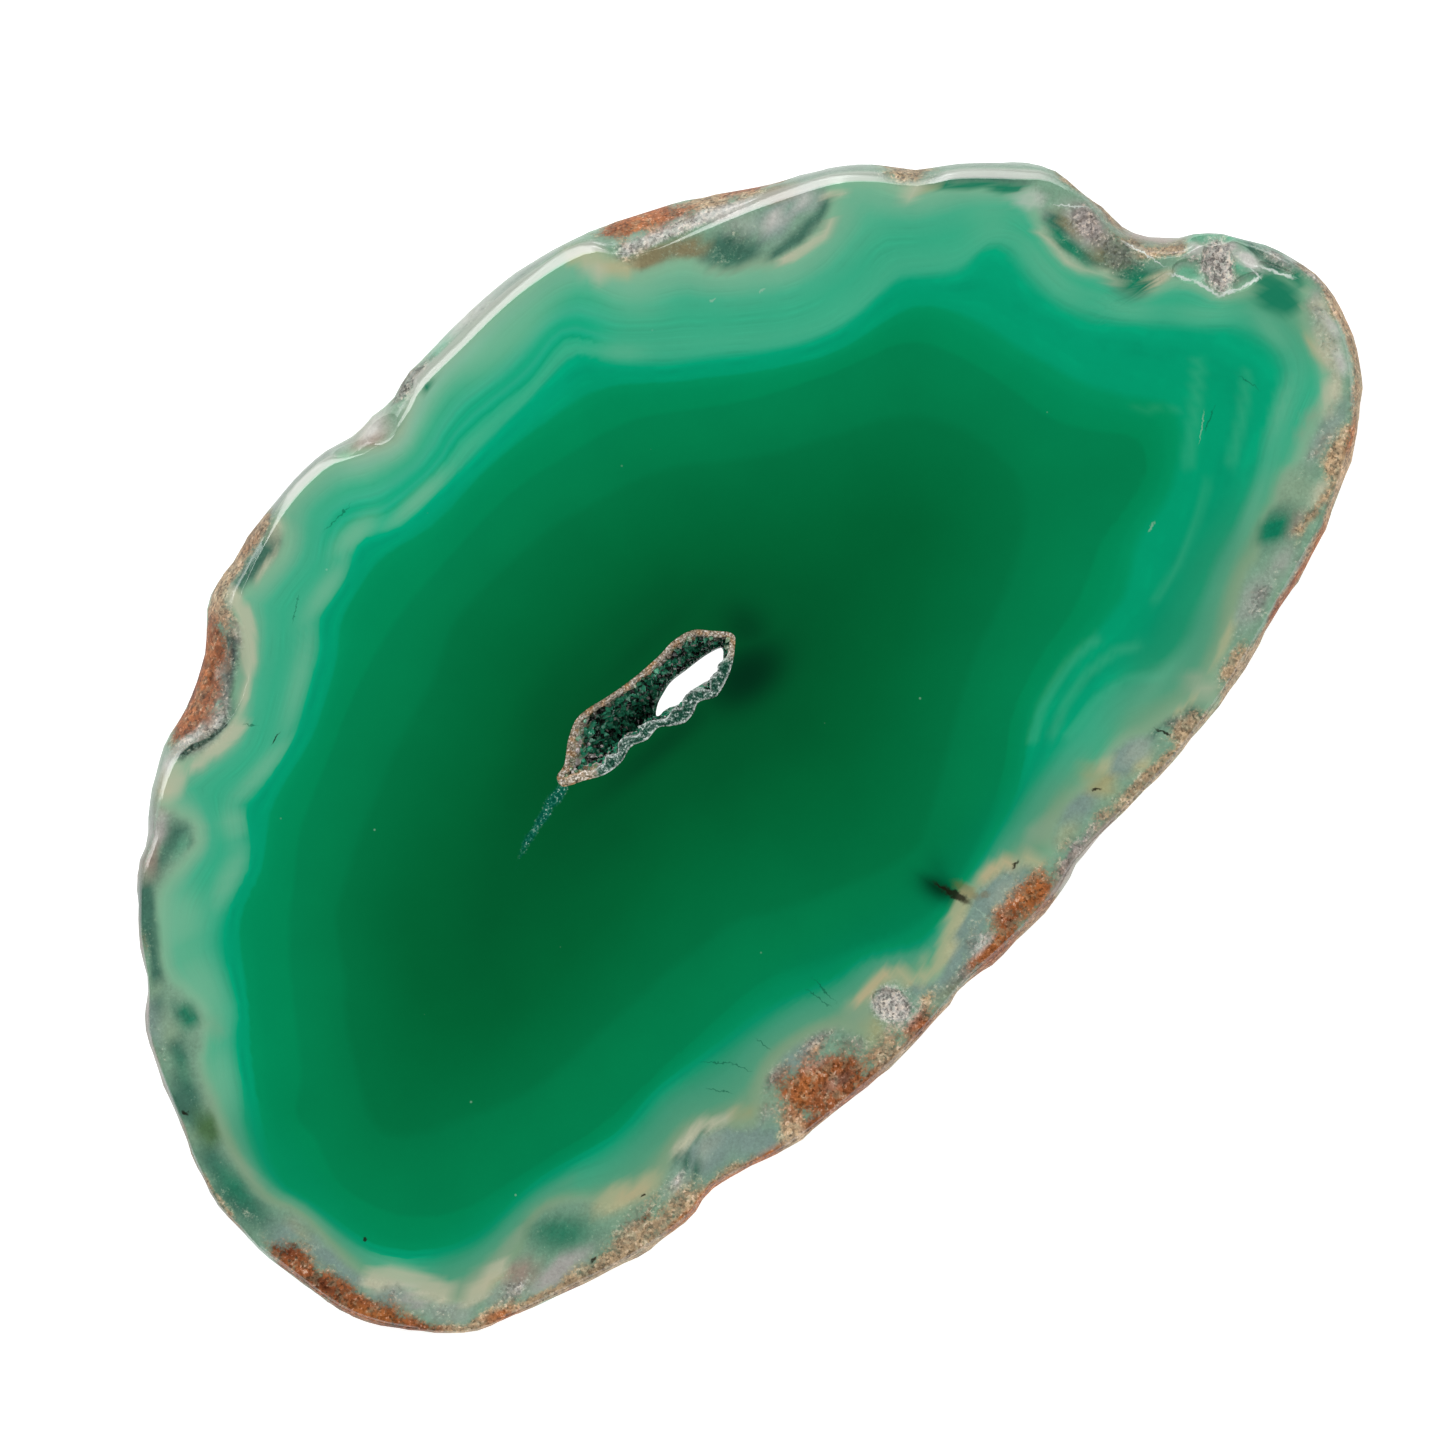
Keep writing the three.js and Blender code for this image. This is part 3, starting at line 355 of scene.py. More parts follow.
        (-0.6, 35.35, 0.8, 0.3, 0, 1.2), (-44, -28.4, 3.1, 1.8, -43, 0.62),
    ], [
        (0.45, 0.9, 45.4, 17.2, 48, 14.9, 50.6, 12.1),
    ]),
    "olive": ("#4c7049", [
        (-60.4, 0, 1.5, 1.4, 0, 1.1),
    ], []),
}
GRIT = {
    "tan": ("#ac9679", [
        (-34.4, 28.6, 4.6, 1.5, 36, 1.2), (-30.6, 31, 2, 1.4, 45, 1.1), (-46, -32.4, 3.8, 0.9, -12, 1.1),
        (-39.5, -33.2, 3.6, 1.4, -5, 1.2), (-34.2, -34, 2.8, 1.2, 5, 1.1),
        (-28.4, -34.9, 2.8, 0.7, -15, 0.9), (-11.4, -36.4, 2, 1.3, 0, 1.1), (13.2, -34.2, 1.4, 0.9, 0, 0.8),
        (17.4, -34.5, 1.8, 0.8, 0, 1), (23.4, -34.5, 5.5, 0.7, 2, 1.1), (28.6, -33.6, 2, 1, 0, 1.3),
        (35.6, -32.4, 2.4, 1, 12, 1.2), (60, -22.2, 1.3, 0.9, 35, 1), (64.3, -16.2, 0.9, 3.6, -14, 1.4),
        (62.9, -20, 0.9, 1.8, -32, 1.2), (44.4, 20.4, 2.2, 1.5, -48, 1.3), (29, 30.5, 2.3, 1.3, -30, 1.4),
        (32.4, 28.9, 1.8, 1, -32, 1.3), (-28.3, 33.2, 1.3, 1.8, 20, 1.2), (-43, 25.1, 0.5, 0.4, 0, 0.7),
        (-36, -31.8, 2.2, 0.9, 0, 0.7), (-61.4, -13.6, 0.8, 1.6, 0, 0.6), (-9, -36, 1, 1, 0, 0.8),
    ], [
        (0.7, 1.4, -28.2, 34.4, -24, 35.6, -19.6, 36.7), (0.55, 1.2, 54.4, 10.6, 54.9, 6.8, 55, 3.4),
        (0.7, 1.2, 54.2, 2.2, 55.2, -0.2, 57.4, -1.8),
        (0.7, 1.6, 65, -10, 65, -12.5, 64, -17.5, 62, -20.9, 58, -24.7, 54, -27),
        (0.5, 1.5, 54, -27, 50, -29, 42, -31.6, 34, -33.7, 26, -35, 19.5, -35.4),
        (0.5, 1.2, 9.2, -36.8, 2, -37.1, -10.5, -37.6, -16.5, -37.3, -24, -36.6, -31.2, -34.7),
        (0.7, 1.5, -31.2, -34.7, -33.8, -35.2, -40, -34.5, -48, -32.2, -52, -30.9, -56, -29.2),
        (0.3, 0.8, -64.9, -9, -64, -2, -62.4, 2), (0.6, 1, 47.6, -27.6, 52.6, -27),
        (0.6, 1, -50, -31.2, -46, -32.6),
    ]),
    "grey": ("#8f928a", [
        (-28.7, 30.5, 1.8, 0.6, 47, 1.2), (-35.2, 26.6, 2.6, 0.9, 5, 1.1), (-32.2, 28.6, 2.4, 0.8, 45, 1.1),
        (-23.4, -33, 1.6, 1, 0, 0.7), (-1.6, 37, 2.9, 0.9, 0, 1.3), (6.6, 37.2, 2.4, 0.6, 0, 0.6),
        (-20.2, -31.4, 1.5, 1, 0, 1.1), (-15.4, -31.8, 2.6, 1.2, 0, 1), (-50.4, -29.4, 1.4, 1, 0, 1),
        (41, -29.6, 2.6, 1.1, 15, 0.9), (54.6, -23.4, 2.4, 1.1, 14, 0.7), (1.4, -35, 1.6, 1, 0, 0.9),
        (-1, -36.2, 3, 0.7, 0, 0.8), (-12.6, -34.4, 1, 1.2, 0, 0.7), (-58.6, -22, 1.3, 1.2, 30, 0.8),
        (-35.6, 26.2, 2.9, 1, 10, 1.2), (62.4, -14.6, 1, 0.9, 0, 0.9), (63.4, -8.4, 0.8, 2, 20, 0.7),
        (-56.4, -26.4, 0.9, 1.6, 35, 0.6), (45.6, -29.6, 1.2, 0.8, 15, 0.6),
        (-46.6, 23.2, 1.6, 0.7, 20, 0.35), (24.8, 28.6, 1.3, 0.8, -34, 0.5),
        (61.6, -17, 1.2, 2.4, -22, 0.55), (62.6, -12.6, 0.9, 1.2, 0, 0.8), (63.3, -8.4, 0.9, 2.6, 12, 0.9),
        (57.6, -21.4, 1.8, 0.8, 20, 0.4), (-63.4, -7.6, 0.6, 3, 0, 0.5), (-58.6, 9.4, 0.8, 2.6, -24, 0.45),
    ], []),
    "dusk": ("#6f766b", [
        (29.4, 26.6, 1.5, 1.7, -28, 0.5), (53, 1.5, 1.4, 1.8, 10, 1.2), (24.4, 28.9, 1.2, 0.9, -30, 0.5),
        (-32.6, 26.8, 1.3, 0.5, 45, 0.6), (-24.6, 34.2, 1, 0.5, 10, 0.5), (-57.9, -21.6, 0.9, 0.7, 0, 0.6),
        (28, -32.4, 2, 0.5, -20, 0.8), (27.2, 25.8, 1.5, 0.9, -44, 0.5), (-38, -32, 3, 0.8, -5, 0.5),
        (-13.4, -33.8, 0.9, 1.3, 0, 0.8),
    ], []),
    "lilac_grit": ("#978f8a", [
        (52.9, 5.6, 1.3, 1.9, 0, 1.3), (-46.6, -31.2, 2.2, 0.6, -8, 0.3), (13.6, -34.9, 3, 0.6, 8, 1),
        (62.8, -12.8, 0.8, 0.8, 0, 0.6), (11.6, -35.4, 1.8, 0.9, 10, 0.8),
    ], []),
    "ochre": ("#c2a786", [
        (-28.8, 32.8, 1, 1.4, 30, 0.8), (-57.6, -28, 0.9, 1.6, 48, 1.2), (-20.6, -34.2, 1.6, 1.2, 0, 0.9),
        (64.2, -15.6, 0.6, 1.6, -10, 1.1), (-18, -37, 3, 0.6, 0, 0.9), (-8.6, -32.6, 0.9, 0.7, 0, 0.8),
        (-22, -35.6, 1.6, 1.3, 0, 1.3), (54.8, -25.3, 2.6, 1.1, 28, 1.4), (-5.2, -35.6, 1, 0.7, 0, 1.1),
        (57.2, -23.8, 1.4, 0.7, 28, 0.9), (-52.6, -30.1, 2.4, 0.9, -22, 1.1), (3, -33.6, 1.6, 0.6, 0, 0.5),
        (-16.4, -32.4, 1.8, 0.6, 0, 0.8), (21, 31.6, 1.2, 0.8, 0, 0.9), (6, -34, 3.4, 0.7, 0, 0.9),
        (10.8, -33.8, 1.2, 0.7, 0, 0.7),
    ], []),
    "rust": ("#955937", [
        (-62.8, -14.2, 1.1, 2.4, 6, 1.2), (-62, -18.4, 1.1, 2.6, 8, 1.2), (-63.7, -13.6, 1, 2.6, 0, 1.2),
        (-62.9, -17, 1.2, 2.8, 4, 1.4), (-62, -20.6, 1.4, 2.4, 14, 1.4), (-60.8, -23.4, 1.6, 2.1, 28, 1.4),
        (-59.5, -25.7, 1.2, 2, 40, 1.2), (-58, -27, 0.7, 1.3, 44, 0.8), (-52.6, -30.6, 1.6, 0.6, -25, 1.1),
        (-17.4, -34.9, 4, 2.4, -25, 1.6), (-15, -36.2, 1.9, 1.3, 0, 1.2), (-20, -36.6, 1.5, 0.8, 0, 1),
        (-7.4, -36.7, 1.8, 0.8, 0, 1.4), (2, -36.3, 2.6, 1, 0, 1.4), (5.2, -35.2, 1.8, 1.2, 0, 1.3),
        (8.2, -35.2, 2.4, 1.5, 15, 1.3), (-36.8, 28.4, 2.7, 1.3, 25, 1.5), (-34.2, 29.7, 3, 1.7, 32, 1.6),
        (-31.2, 31.9, 2.5, 1.8, 45, 1.5), (22.4, 34, 2.4, 1.2, -27, 1.4), (25.4, 32.3, 2.3, 1.2, -30, 1.3),
        (-53.4, 16.2, 0.5, 0.6, -40, 1),
    ], [
        (0.35, 0.9, 31, 30, 34, 28.2, 36, 27.2), (0.35, 0.8, 40, -31.9, 46, -30.3),
        (0.4, 0.9, -8.8, -31.9, -9.7, -33.2, -9.4, -35.2),
    ]),
    "orange": ("#a9673a", [
        (-36, 29, 2.2, 0.8, 25, 0.9), (-33.4, 30.4, 2.4, 1, 32, 0.95), (-31.2, 31.8, 1.6, 1, 45, 0.75),
        (8, -35.1, 2.2, 1.2, 12, 0.75), (-16.6, -34.2, 2.6, 1.4, -25, 0.45), (2.4, -36, 2, 0.8, 0, 0.6),
        (-18.6, -33.8, 1.8, 0.9, -25, 0.6), (-61.8, -21.8, 0.7, 1.3, 20, 1),
        (57.2, -24.6, 1.6, 0.5, 32, 0.8), (48, -29.8, 3, 0.4, 24, 0.8), (23.4, 33.2, 2, 0.9, -27, 1.2),
        (-60.6, -23.4, 0.7, 1.1, 30, 1), (-53, -30.6, 1.4, 0.6, -25, 0.9), (-22, 36, 1.6, 0.5, 15, 0.5),
        (62.9, -18.8, 0.6, 1.2, -30, 0.3), (64.7, -14.8, 0.4, 1.2, 0, 0.25),
        (60.4, -21.8, 0.9, 0.5, 38, 0.3), (-20, -34.6, 1, 0.8, 0, 0.8),
    ], [
        (0.4, 1.1, -24.6, -36.4, -28.6, -35.6, -31.4, -34.8, -33.8, -35.2, -36, -35),
        (0.45, 0.3, 64.4, -14.4, 63.6, -18),
        (0.4, 0.25, 57.6, -24.8, 52.4, -27.6, 48.1, -29.8, 41.2, -32.2),
    ]),
    "deep_rust": ("#6f3d27", [
        (-35.6, 30.4, 2.2, 0.8, 28, 0.95), (-32.4, 32.4, 2, 0.9, 45, 1), (-30.6, 33.8, 0.9, 0.6, 45, 0.8),
        (-62.9, -12.8, 0.8, 1, 0, 1.1), (-62.8, -17.4, 0.6, 1.5, 5, 0.9), (-60.4, -24.6, 0.5, 1.1, 35, 0.8),
        (-15.6, -35.6, 1.2, 0.7, -30, 0.7), (5.4, -35.6, 1.2, 0.6, 0, 0.6), (-43.4, -32.2, 0.4, 0.3, 0, 1),
        (-40.2, -30.4, 0.5, 0.3, 0, 0.9), (-37.6, -32.6, 0.5, 0.4, 0, 0.8),
        (-46.6, -32.9, 0.4, 0.3, 0, 0.9),
    ], []),
    "quartz": ("#c0bdb6", [
        (-8, -33.9, 1.5, 1.9, 12, 1.5), (-49.7, -29.4, 0.6, 0.7, 0, 1.1), (-33.2, -32.4, 0.7, 0.6, 0, 0.9),
        (1.6, -35.3, 0.9, 0.5, 0, 1.2), (-32.2, 28.9, 0.9, 0.35, 55, 0.8), (64.4, -12, 0.3, 0.8, 0, 0.8),
        (-16.4, -35.6, 1, 0.8, 0, 0.4), (-16.4, -32.9, 2, 0.7, -20, 0.4), (44.6, 21.2, 0.9, 0.7, -48, 0.8),
    ], [
        # A painted highlight: the arris's reflection where it runs on over the granular rind, drawn as a
        # pale quartz vein.
        (0.55, 1.4, 20.2, 32.5, 23, 31.4, 26.4, 30.2, 29.4, 28.9, 31.2, 28.2),
        (0.35, 0.9, -38.4, 26.9, -35.6, 26.5, -34.2, 26.8),
    ]),
    "bright_quartz": ("#b5afa9", [
        (58.9, -5.3, 2.5, 1.3, 55, 1.6), (-7.7, -34.4, 0.9, 1.1, 12, 1), (58, -3, 1, 0.6, -35, 0.8),
    ], []),
    # A painted shadow: a dark vein along the inner edge of the recess, where its rim throws shade.
    "gap": ("#43584e", [], [
        (0.32, 1.5, -40, 26.3, -38.4, 26.2, -37.1, 25.8, -35.7, 25.5, -34.2, 25.8, -32.9, 26.8, -32, 27.7,
         -31.4, 28.8, -29.7, 29.7, -28.8, 31.2),
    ]),
}

# Darker green round the hollow, and the fissure that runs from its left tip
DIM = [
    (2.6, -3.2, 4.2, 2.6, -8, 1), (-7, -2.6, 8.5, 1.4, -4, 0.55), (5.6, 0, 2.2, 2.8, 0, 0.6),
    (-2, 5, 7, 1.2, 0, 0.3), (2.2, -29, 1.1, 2.1, 18, 0.95), (3.6, -27.6, 1, 2, -12, 0.3),
]
FISSURE = [
    (-17.4, 0.5, 1.6, 0.6, 6, 1), (-19.6, 0, 1.8, 0.5, 14, 0.95), (-21.8, -0.6, 1.8, 0.45, 16, 0.85),
    (-24, -1.5, 1.6, 0.3, 24, 0.6),
]

# Strokes in the polished stone: from where to where, and the width. A short one is a speck.
DARK_STROKES = [
    (-24, -26, -22, -28, 0.12), (-22.2, -27.8, -21.4, -29.5, 0.12), (-25.4, -28, -23.9, -29.8, 0.1),
    (-19, -27.8, -18.8, -29.2, 0.14), (-12.7, -27.5, -12.2, -30.2, 0.12), (-11.6, -27.3, -11.6, -30, 0.14),
    (-33.5, 24.5, -32.7, 23.6, 0.12), (47.8, -15.3, 50, -14.2, 0.14), (53.5, -13.8, 54, -15.8, 0.12),
    (-16.2, 32.3, -13, 32.4, 0.12), (-24, 28.2, -22, 29.6, 0.1),
]
BLACK_STROKES = [
    (-32.8, 21.45, -31.8, 21.8, 0.2), (2.6, -29.5, 3.3, -31.6, 0.85), (2.3, -28.4, 3, -31, 0.34),
    (8.4, -32.2, 9, -32.2, 0.34), (-61.3, 2.7, -61.1, 2.3, 0.34), (-57.3, -16.9, -57.1, -16.9, 0.16),
    (18.5, -32, 18.9, -32.4, 0.24), (26.3, -31.8, 26.9, -33.2, 0.2), (-43.5, -32.3, -43.1, -32.3, 0.36),
    (-36.3, -31.1, -36, -31.1, 0.26),
]
OCHRE_STROKES = [
    (3.7, -30, 4.1, -31.6, 1.1), (4.6, -32.1, 5, -32.3, 0.6),
]
# Pale cracks and specks, and one painted highlight: the thin bright line of the arris at the upper left,
# from -49, 21 to -43.2, 25.
PALE_AND_HIGHLIGHT_STROKES = [
    (3.4, -32.2, 3.7, -34.5, 0.16), (23.3, 23.6, 23.6, 23.6, 0.26), (27.1, 21.2, 27.4, 21.2, 0.26),
    (46.8, -15.6, 48.9, -14, 0.14), (38.1, -18.3, 38.9, -18.1, 0.24), (-49, 21, -43.2, 25, 0.22),
]
# Painted highlights: bright lines along the edges of the glassy chip, and two scratches painted as bright
# glints.
PAINTED_GLINT_STROKES = [
    (55.2, -2.8, 56.4, -4.6, 0.26), (56.4, -4.6, 57.1, -7.1, 0.3), (57.1, -7.2, 59, -8, 0.34),
    (58.9, -8, 60.9, -8.5, 0.34), (60.9, -8.6, 60.9, -7.4, 0.24), (61.5, -7.6, 63.1, -10.6, 0.26),
    (51.8, 9, 54, 6.5, 0.14), (54.2, 2, 55.4, -2, 0.14),
]

# Chips and pits broken out of the polished face: middle, half sizes, turn in degrees, how many
# times the ball that cuts it is divided, and how rough the break is.
CHIPS = {
    "recess_in_rind": ((-33.6, 32.2, 5.9), (6.8, 3.6, 2.6), 32, 5, 0.34),
    "layered_chip_left": ((-9.2, 38.0, 5.7), (2.4, 2.5, 1.6), -8, 5, 0.05),
    "layered_chip_middle": ((-6.4, 37.9, 5.9), (2.6, 3.7, 1.7), 10, 5, 0.05),
    "layered_chip_inner": ((-6.6, 35.6, 5.75), (1.9, 1.5, 0.5), -24, 4, 0.04),
    "layered_chip_right": ((-2.9, 38.2, 5.6), (2.8, 2.5, 1.5), 20, 5, 0.06),
    "break_on_shoulder": ((43.9, 21.3, 5.6), (2.0, 1.7, 1.1), -48, 4, 0.16),
    "glassy_chip_floor": ((58.9, -5.2, 5.8), (2.8, 1.6, 1.2), 55, 4, 0.20),
    "glassy_chip_corner": ((56.8, -3.9, 5.65), (1.9, 1.2, 0.6), -48, 4, 0.12),
    "glassy_chip_foot": ((59.6, -7.9, 5.6), (1.7, 0.7, 0.45), -14, 4, 0.06),
    "glassy_chip_plate": ((61.2, -5.9, 5.75), (0.9, 2.1, 0.6), 14, 4, 0.03),
    "glassy_chip_tail": ((62.4, -8.9, 5.6), (0.45, 2.2, 0.4), 28, 3, 0.03),
    "wall_scoop_by_chip": ((60.4, -2.6, 5.2), (2.4, 1.2, 1.4), -38, 4, 0.12),
    "round_pit": ((-8.0, -33.8, 5.7), (1.4, 1.9, 0.8), 12, 4, 0.14),
}

# The kinds of smooth stone whose colour stains the green beside them, and how much
STAIN = {
    "smoke": 0.4, "jade": 0.5, "moss": 0.6, "sage_stone": 0.7, "straw": 0.75, "peach": 0.75, "cream": 0.75,
    "emerald": 0.95, "milk": 0.5,
}
RIND_HUE = "#7ca188"     # the rind where no kind is named
# Painted shade on the unpolished wall of the rind: its colour is painted darker where the wall is steep and
# looks to the window, and lighter where it looks away from it.
PAINTED_WALL_SHADING = 0.36        # how much darker the rind is on its unpolished wall
LINED = [(0, 31, 15, 4.5, 0, 1.4)]     # where the fine dark lines are clear
GROWTH_MM = (0, 6.7, 8.4, 10.3, 13.8, 18.3, 26, 33)    # depth of each band edge below the top


def smooth_outline(points, count):
    """Evenly spaced points, anticlockwise, of the smooth closed curve through the given ones."""
    knots = np.array(points[::-1], dtype=float)
    before, after, later = (np.roll(knots, shift, axis=0) for shift in (1, -1, -2))

    def gap(a, b):
        return np.linalg.norm(b - a, axis=1)[:, None] ** 0.5

    t1 = gap(before, knots)
    t2 = t1 + gap(knots, after)
    t3 = t2 + gap(after, later)
    fine = []
    for share in np.linspace(0, 1, 24, endpoint=False):
        t = t1 + share * (t2 - t1)
        a1 = before + (knots - before) * t / t1
        a2 = knots + (after - knots) * (t - t1) / (t2 - t1)
        a3 = after + (later - after) * (t - t2) / (t3 - t2)
        b1 = a1 + (a2 - a1) * t / t2
        b2 = a2 + (a3 - a2) * (t - t1) / (t3 - t1)
        fine.append(b1 + (b2 - b1) * (t - t1) / (t2 - t1))
    fine = np.stack(fine, axis=1).reshape(-1, knots.shape[1])
    closed = np.vstack([fine, fine[:1]])
    along = np.r_[0, np.cumsum(np.linalg.norm(np.diff(closed[:, :2], axis=0), axis=1))]
    wanted = np.linspace(0, along[-1], count, endpoint=False)
    return np.stack([np.interp(wanted, along, column) for column in closed.T], axis=1)


def outward(outline, reach=2):
    """The direction out of an anticlockwise outline at each of its points."""
    run = np.roll(outline[:, :2], -reach, axis=0) - np.roll(outline[:, :2], reach, axis=0)
    normal = np.stack([run[:, 1], -run[:, 0]], axis=1)
    return normal / np.linalg.norm(normal, axis=1)[:, None]


def ease(values, low, high):
    """A smooth step from 0 at low to 1 at high."""
    t = np.clip((values - low) / (high - low), 0, 1)
    return t * t * (3 - 2 * t)


def noise_at(places, scale, seed=0.0):
    """Perlin noise, about -1 to 1, at each place in mm, with lumps of about the given size."""
    return np.array([noise.noise(Vector(p / scale) + Vector((seed, seed, seed))) for p in places])


def only_select(piece):
    bpy.ops.object.select_all(action="DESELECT")
    piece.select_set(True)
    bpy.context.view_layer.objects.active = piece


def read_points(piece):
    points = np.empty(len(piece.data.vertices) * 3)
    piece.data.vertices.foreach_get("co", points)
    return points.reshape(-1, 3) / MM


def write_points(piece, points):
    piece.data.vertices.foreach_set("co", (points * MM).ravel())
    piece.data.update()


def write_field(piece, name, values):
    """A number for each point of a piece, which its material reads by name."""
    layer = piece.data.attributes.new(name, "FLOAT", "POINT")
    layer.data.foreach_set("value", np.asarray(values, dtype=np.float32))


def ring_of_rows(name, around, rows):
    """A torus primitive, with the place in its lattice of each of its points: round it, and
    across its section from the inside of the upper half outwards."""
    bpy.ops.object.select_all(action="DESELECT")
    bpy.ops.mesh.primitive_torus_add(
        major_segments=around, minor_segments=rows, major_radius=1, minor_radius=0.5)
    piece = bpy.context.active_object
    piece.name = name
    piece.data.name = name
    points = read_points(piece) * MM
    turn = np.arctan2(points[:, 1], points[:, 0])
    tilt = np.arctan2(points[:, 2], 1 - np.hypot(points[:, 0], points[:, 1]))
    column = np.round(turn / (2 * math.pi) * around).astype(int) % around
    row = np.round(tilt / (2 * math.pi) * rows).astype(int) % rows
    return piece, column, row


def face_outwards(piece):
    only_select(piece)
    bpy.ops.object.mode_set(mode="EDIT")
    bpy.ops.mesh.select_all(action="SELECT")
    bpy.ops.mesh.normals_make_consistent(inside=False)
    bpy.ops.object.mode_set(mode="OBJECT")


def lump(places):
    """The rind's lumps and grit in mm, least by the two faces, as the CAD solid has them. Where
    the wall is glassy it is far smoother."""
    calm = np.sin(np.pi * np.clip(places[:, 2] / THICKNESS, 0.08, 0.92))
    lumps = 0.30 * noise_at(places, 3.4) + 0.13 * noise_at(places, 1.2, 7.0)
    grit = 0.07 * noise_at(places, 0.55, 3.0)
    glassy = np.clip(kind_field(*SMOOTH_STONE["skin"][1:], places), 0, 1)
    return calm * (lumps + grit) * (1 - 0.7 * glassy)


def slab_rows():
    """The rows of the slab's section, from the mouth of the hollow over the polished face, down
    the rind and back under it: what each row is, and how far along it lies."""
    face = 1 - (1 - np.linspace(0, 1, FACE_ROWS)) ** 1.25
    rows = [("face", share) for share in face]
    rows += [("arris", share) for share in (0.33, 0.67, 1)]
    for part, count in (("wall", WALL_ROWS), ("foot", FOOT_ROWS), ("back", BACK_ROWS),
                        ("hollow", HOLLOW_ROWS + 1)):
        rows += [(part, share) for share in np.linspace(0, 1, count + 1)[1:]]
    return rows[:-1]


def shape_slab():
    """The sawn slab with its polished arris and lumpy rind, and the hollow that runs through."""
    rows = slab_rows()
    piece, column, row = ring_of_rows("polished_slab", AROUND, len(rows))
    outline = smooth_outline(RIND, AROUND)
    out = outward(outline)
    rim = outline[:, :2]
    wall = outline[:, 2]
    arris = np.clip(outline[:, 3], 0.02, 0.75 * wall)
    arris += 0.12 * arris * noise_at(np.column_stack([rim, wall]), 1.6, 4.0)
    fall = ARRIS_SLOPE * arris
    mouth = smooth_outline(MOUTH, AROUND)
    opening = smooth_outline(OPENING, AROUND)
    foot_hole = opening + (CRUST_FOOT + 0.1) * outward(opening, 6)
    undercut = np.maximum(UNDERCUT - wall * UNDERCUT_LOSS, UNDERCUT_MIN)
    edge = rim - out * wall[:, None]
    sole = rim - out * undercut[:, None]
    lattice = np.empty((len(rows), AROUND, 3))
    for number, (part, share) in enumerate(rows):
        height = np.full(AROUND, THICKNESS)
        if part == "face":
            flat = mouth + share * (edge - mouth)
        elif part == "arris":
            flat = edge + out * (share * arris)[:, None]
            height = THICKNESS - fall * share
        elif part == "wall":
            angle = share * math.pi / 2
            flat = rim - out * ((wall - arris) * (1 - math.sin(angle)))[:, None]
            height = WIDEST_HEIGHT + (THICKNESS - fall - WIDEST_HEIGHT) * math.cos(angle)
        elif part == "foot":
            angle = share * math.pi / 2
            flat = rim - out * (undercut * (1 - math.cos(angle)))[:, None]
            height = np.full(AROUND, WIDEST_HEIGHT * (1 - math.sin(angle)))
        elif part == "back":
            flat = sole + share * (foot_hole - sole)
            height = np.zeros(AROUND)
        else:
            flat = foot_hole + share * (mouth - foot_hole)
            height = np.full(AROUND, THICKNESS * share)
        places = np.column_stack([flat, height])
        if part in ("wall", "foot"):
            places[:, :2] += out * lump(places)[:, None]
        lattice[number] = places
    lattice[..., 0] = np.clip(lattice[..., 0], -HALF_LENGTH, HALF_LENGTH)
    lattice[..., 1] = np.clip(lattice[..., 1], -HALF_WIDTH, HALF_WIDTH)
    write_points(piece, lattice[row, column])
    face_outwards(piece)
    return piece


def turned(degrees):
    """The matrix that turns points about Z."""
    angle = math.radians(degrees)
    return np.array([[math.cos(angle), -math.sin(angle), 0], [math.sin(angle), math.cos(angle), 0],
                     [0, 0, 1]])


def chip_tool(name, place, half, turn, divisions, roughness):
    """A rough ball that breaks one chip or pit out of the slab."""
    bpy.ops.object.select_all(action="DESELECT")
    bpy.ops.mesh.primitive_ico_sphere_add(subdivisions=divisions, radius=1)
    tool = bpy.context.active_object
    tool.name = name
    unit = read_points(tool) * MM
    points = (unit * half) @ turned(turn).T + place
    swell = roughness * (noise_at(points, 1.5, 5.0) + 0.7 * noise_at(points, 0.6, 9.0))
    write_points(tool, points + unit * swell[:, None])
    return tool


def break_chips(slab):
    tools = [chip_tool(name, *chip) for name, chip in CHIPS.items()]
    bpy.ops.object.select_all(action="DESELECT")
    for tool in tools:
        tool.select_set(True)
    bpy.context.view_layer.objects.active = tools[0]
    bpy.ops.object.join()
    cutter = bpy.context.active_object
    only_select(slab)
    cut = slab.modifiers.new("chips", "BOOLEAN")
    cut.operation = "DIFFERENCE"
    cut.solver = "EXACT"
    cut.use_self = True
    cut.object = cutter
    bpy.ops.object.modifier_apply(modifier=cut.name)
    bpy.data.objects.remove(cutter)


def broken_places(points):
    """1 on the glassy broken surfaces and 0 elsewhere, also in the weathered recess."""
    broken = np.zeros(len(points))
    for name, (place, half, turn, _, roughness) in CHIPS.items():
        if name == "recess_in_rind":
            continue
        local = ((points - place) @ turned(-turn).T) / half
        near = np.linalg.norm(local, axis=1) < 1 + 1.4 * roughness / min(half)
        broken[near & (points[:, 2] < THICKNESS - CUT_DEPTH)] = 1
    return broken


def inside(outline, points):
    """Which of the points lie inside a closed outline."""
    x, y = points[:, 0][:, None], points[:, 1][:, None]
    ax, ay = outline[:, 0], outline[:, 1]
    bx, by = np.roll(ax, -1), np.roll(ay, -1)
    result = np.empty(len(points), dtype=bool)
    for start in range(0, len(points), BLOCK):
        part = slice(start, start + BLOCK)
        spans = (ay > y[part]) != (by > y[part])
        with np.errstate(divide="ignore", invalid="ignore"):
            crossing = (bx - ax) * (y[part] - ay) / (by - ay) + ax
        result[part] = (spans & (x[part] < crossing)).sum(axis=1) % 2 == 1
    return result


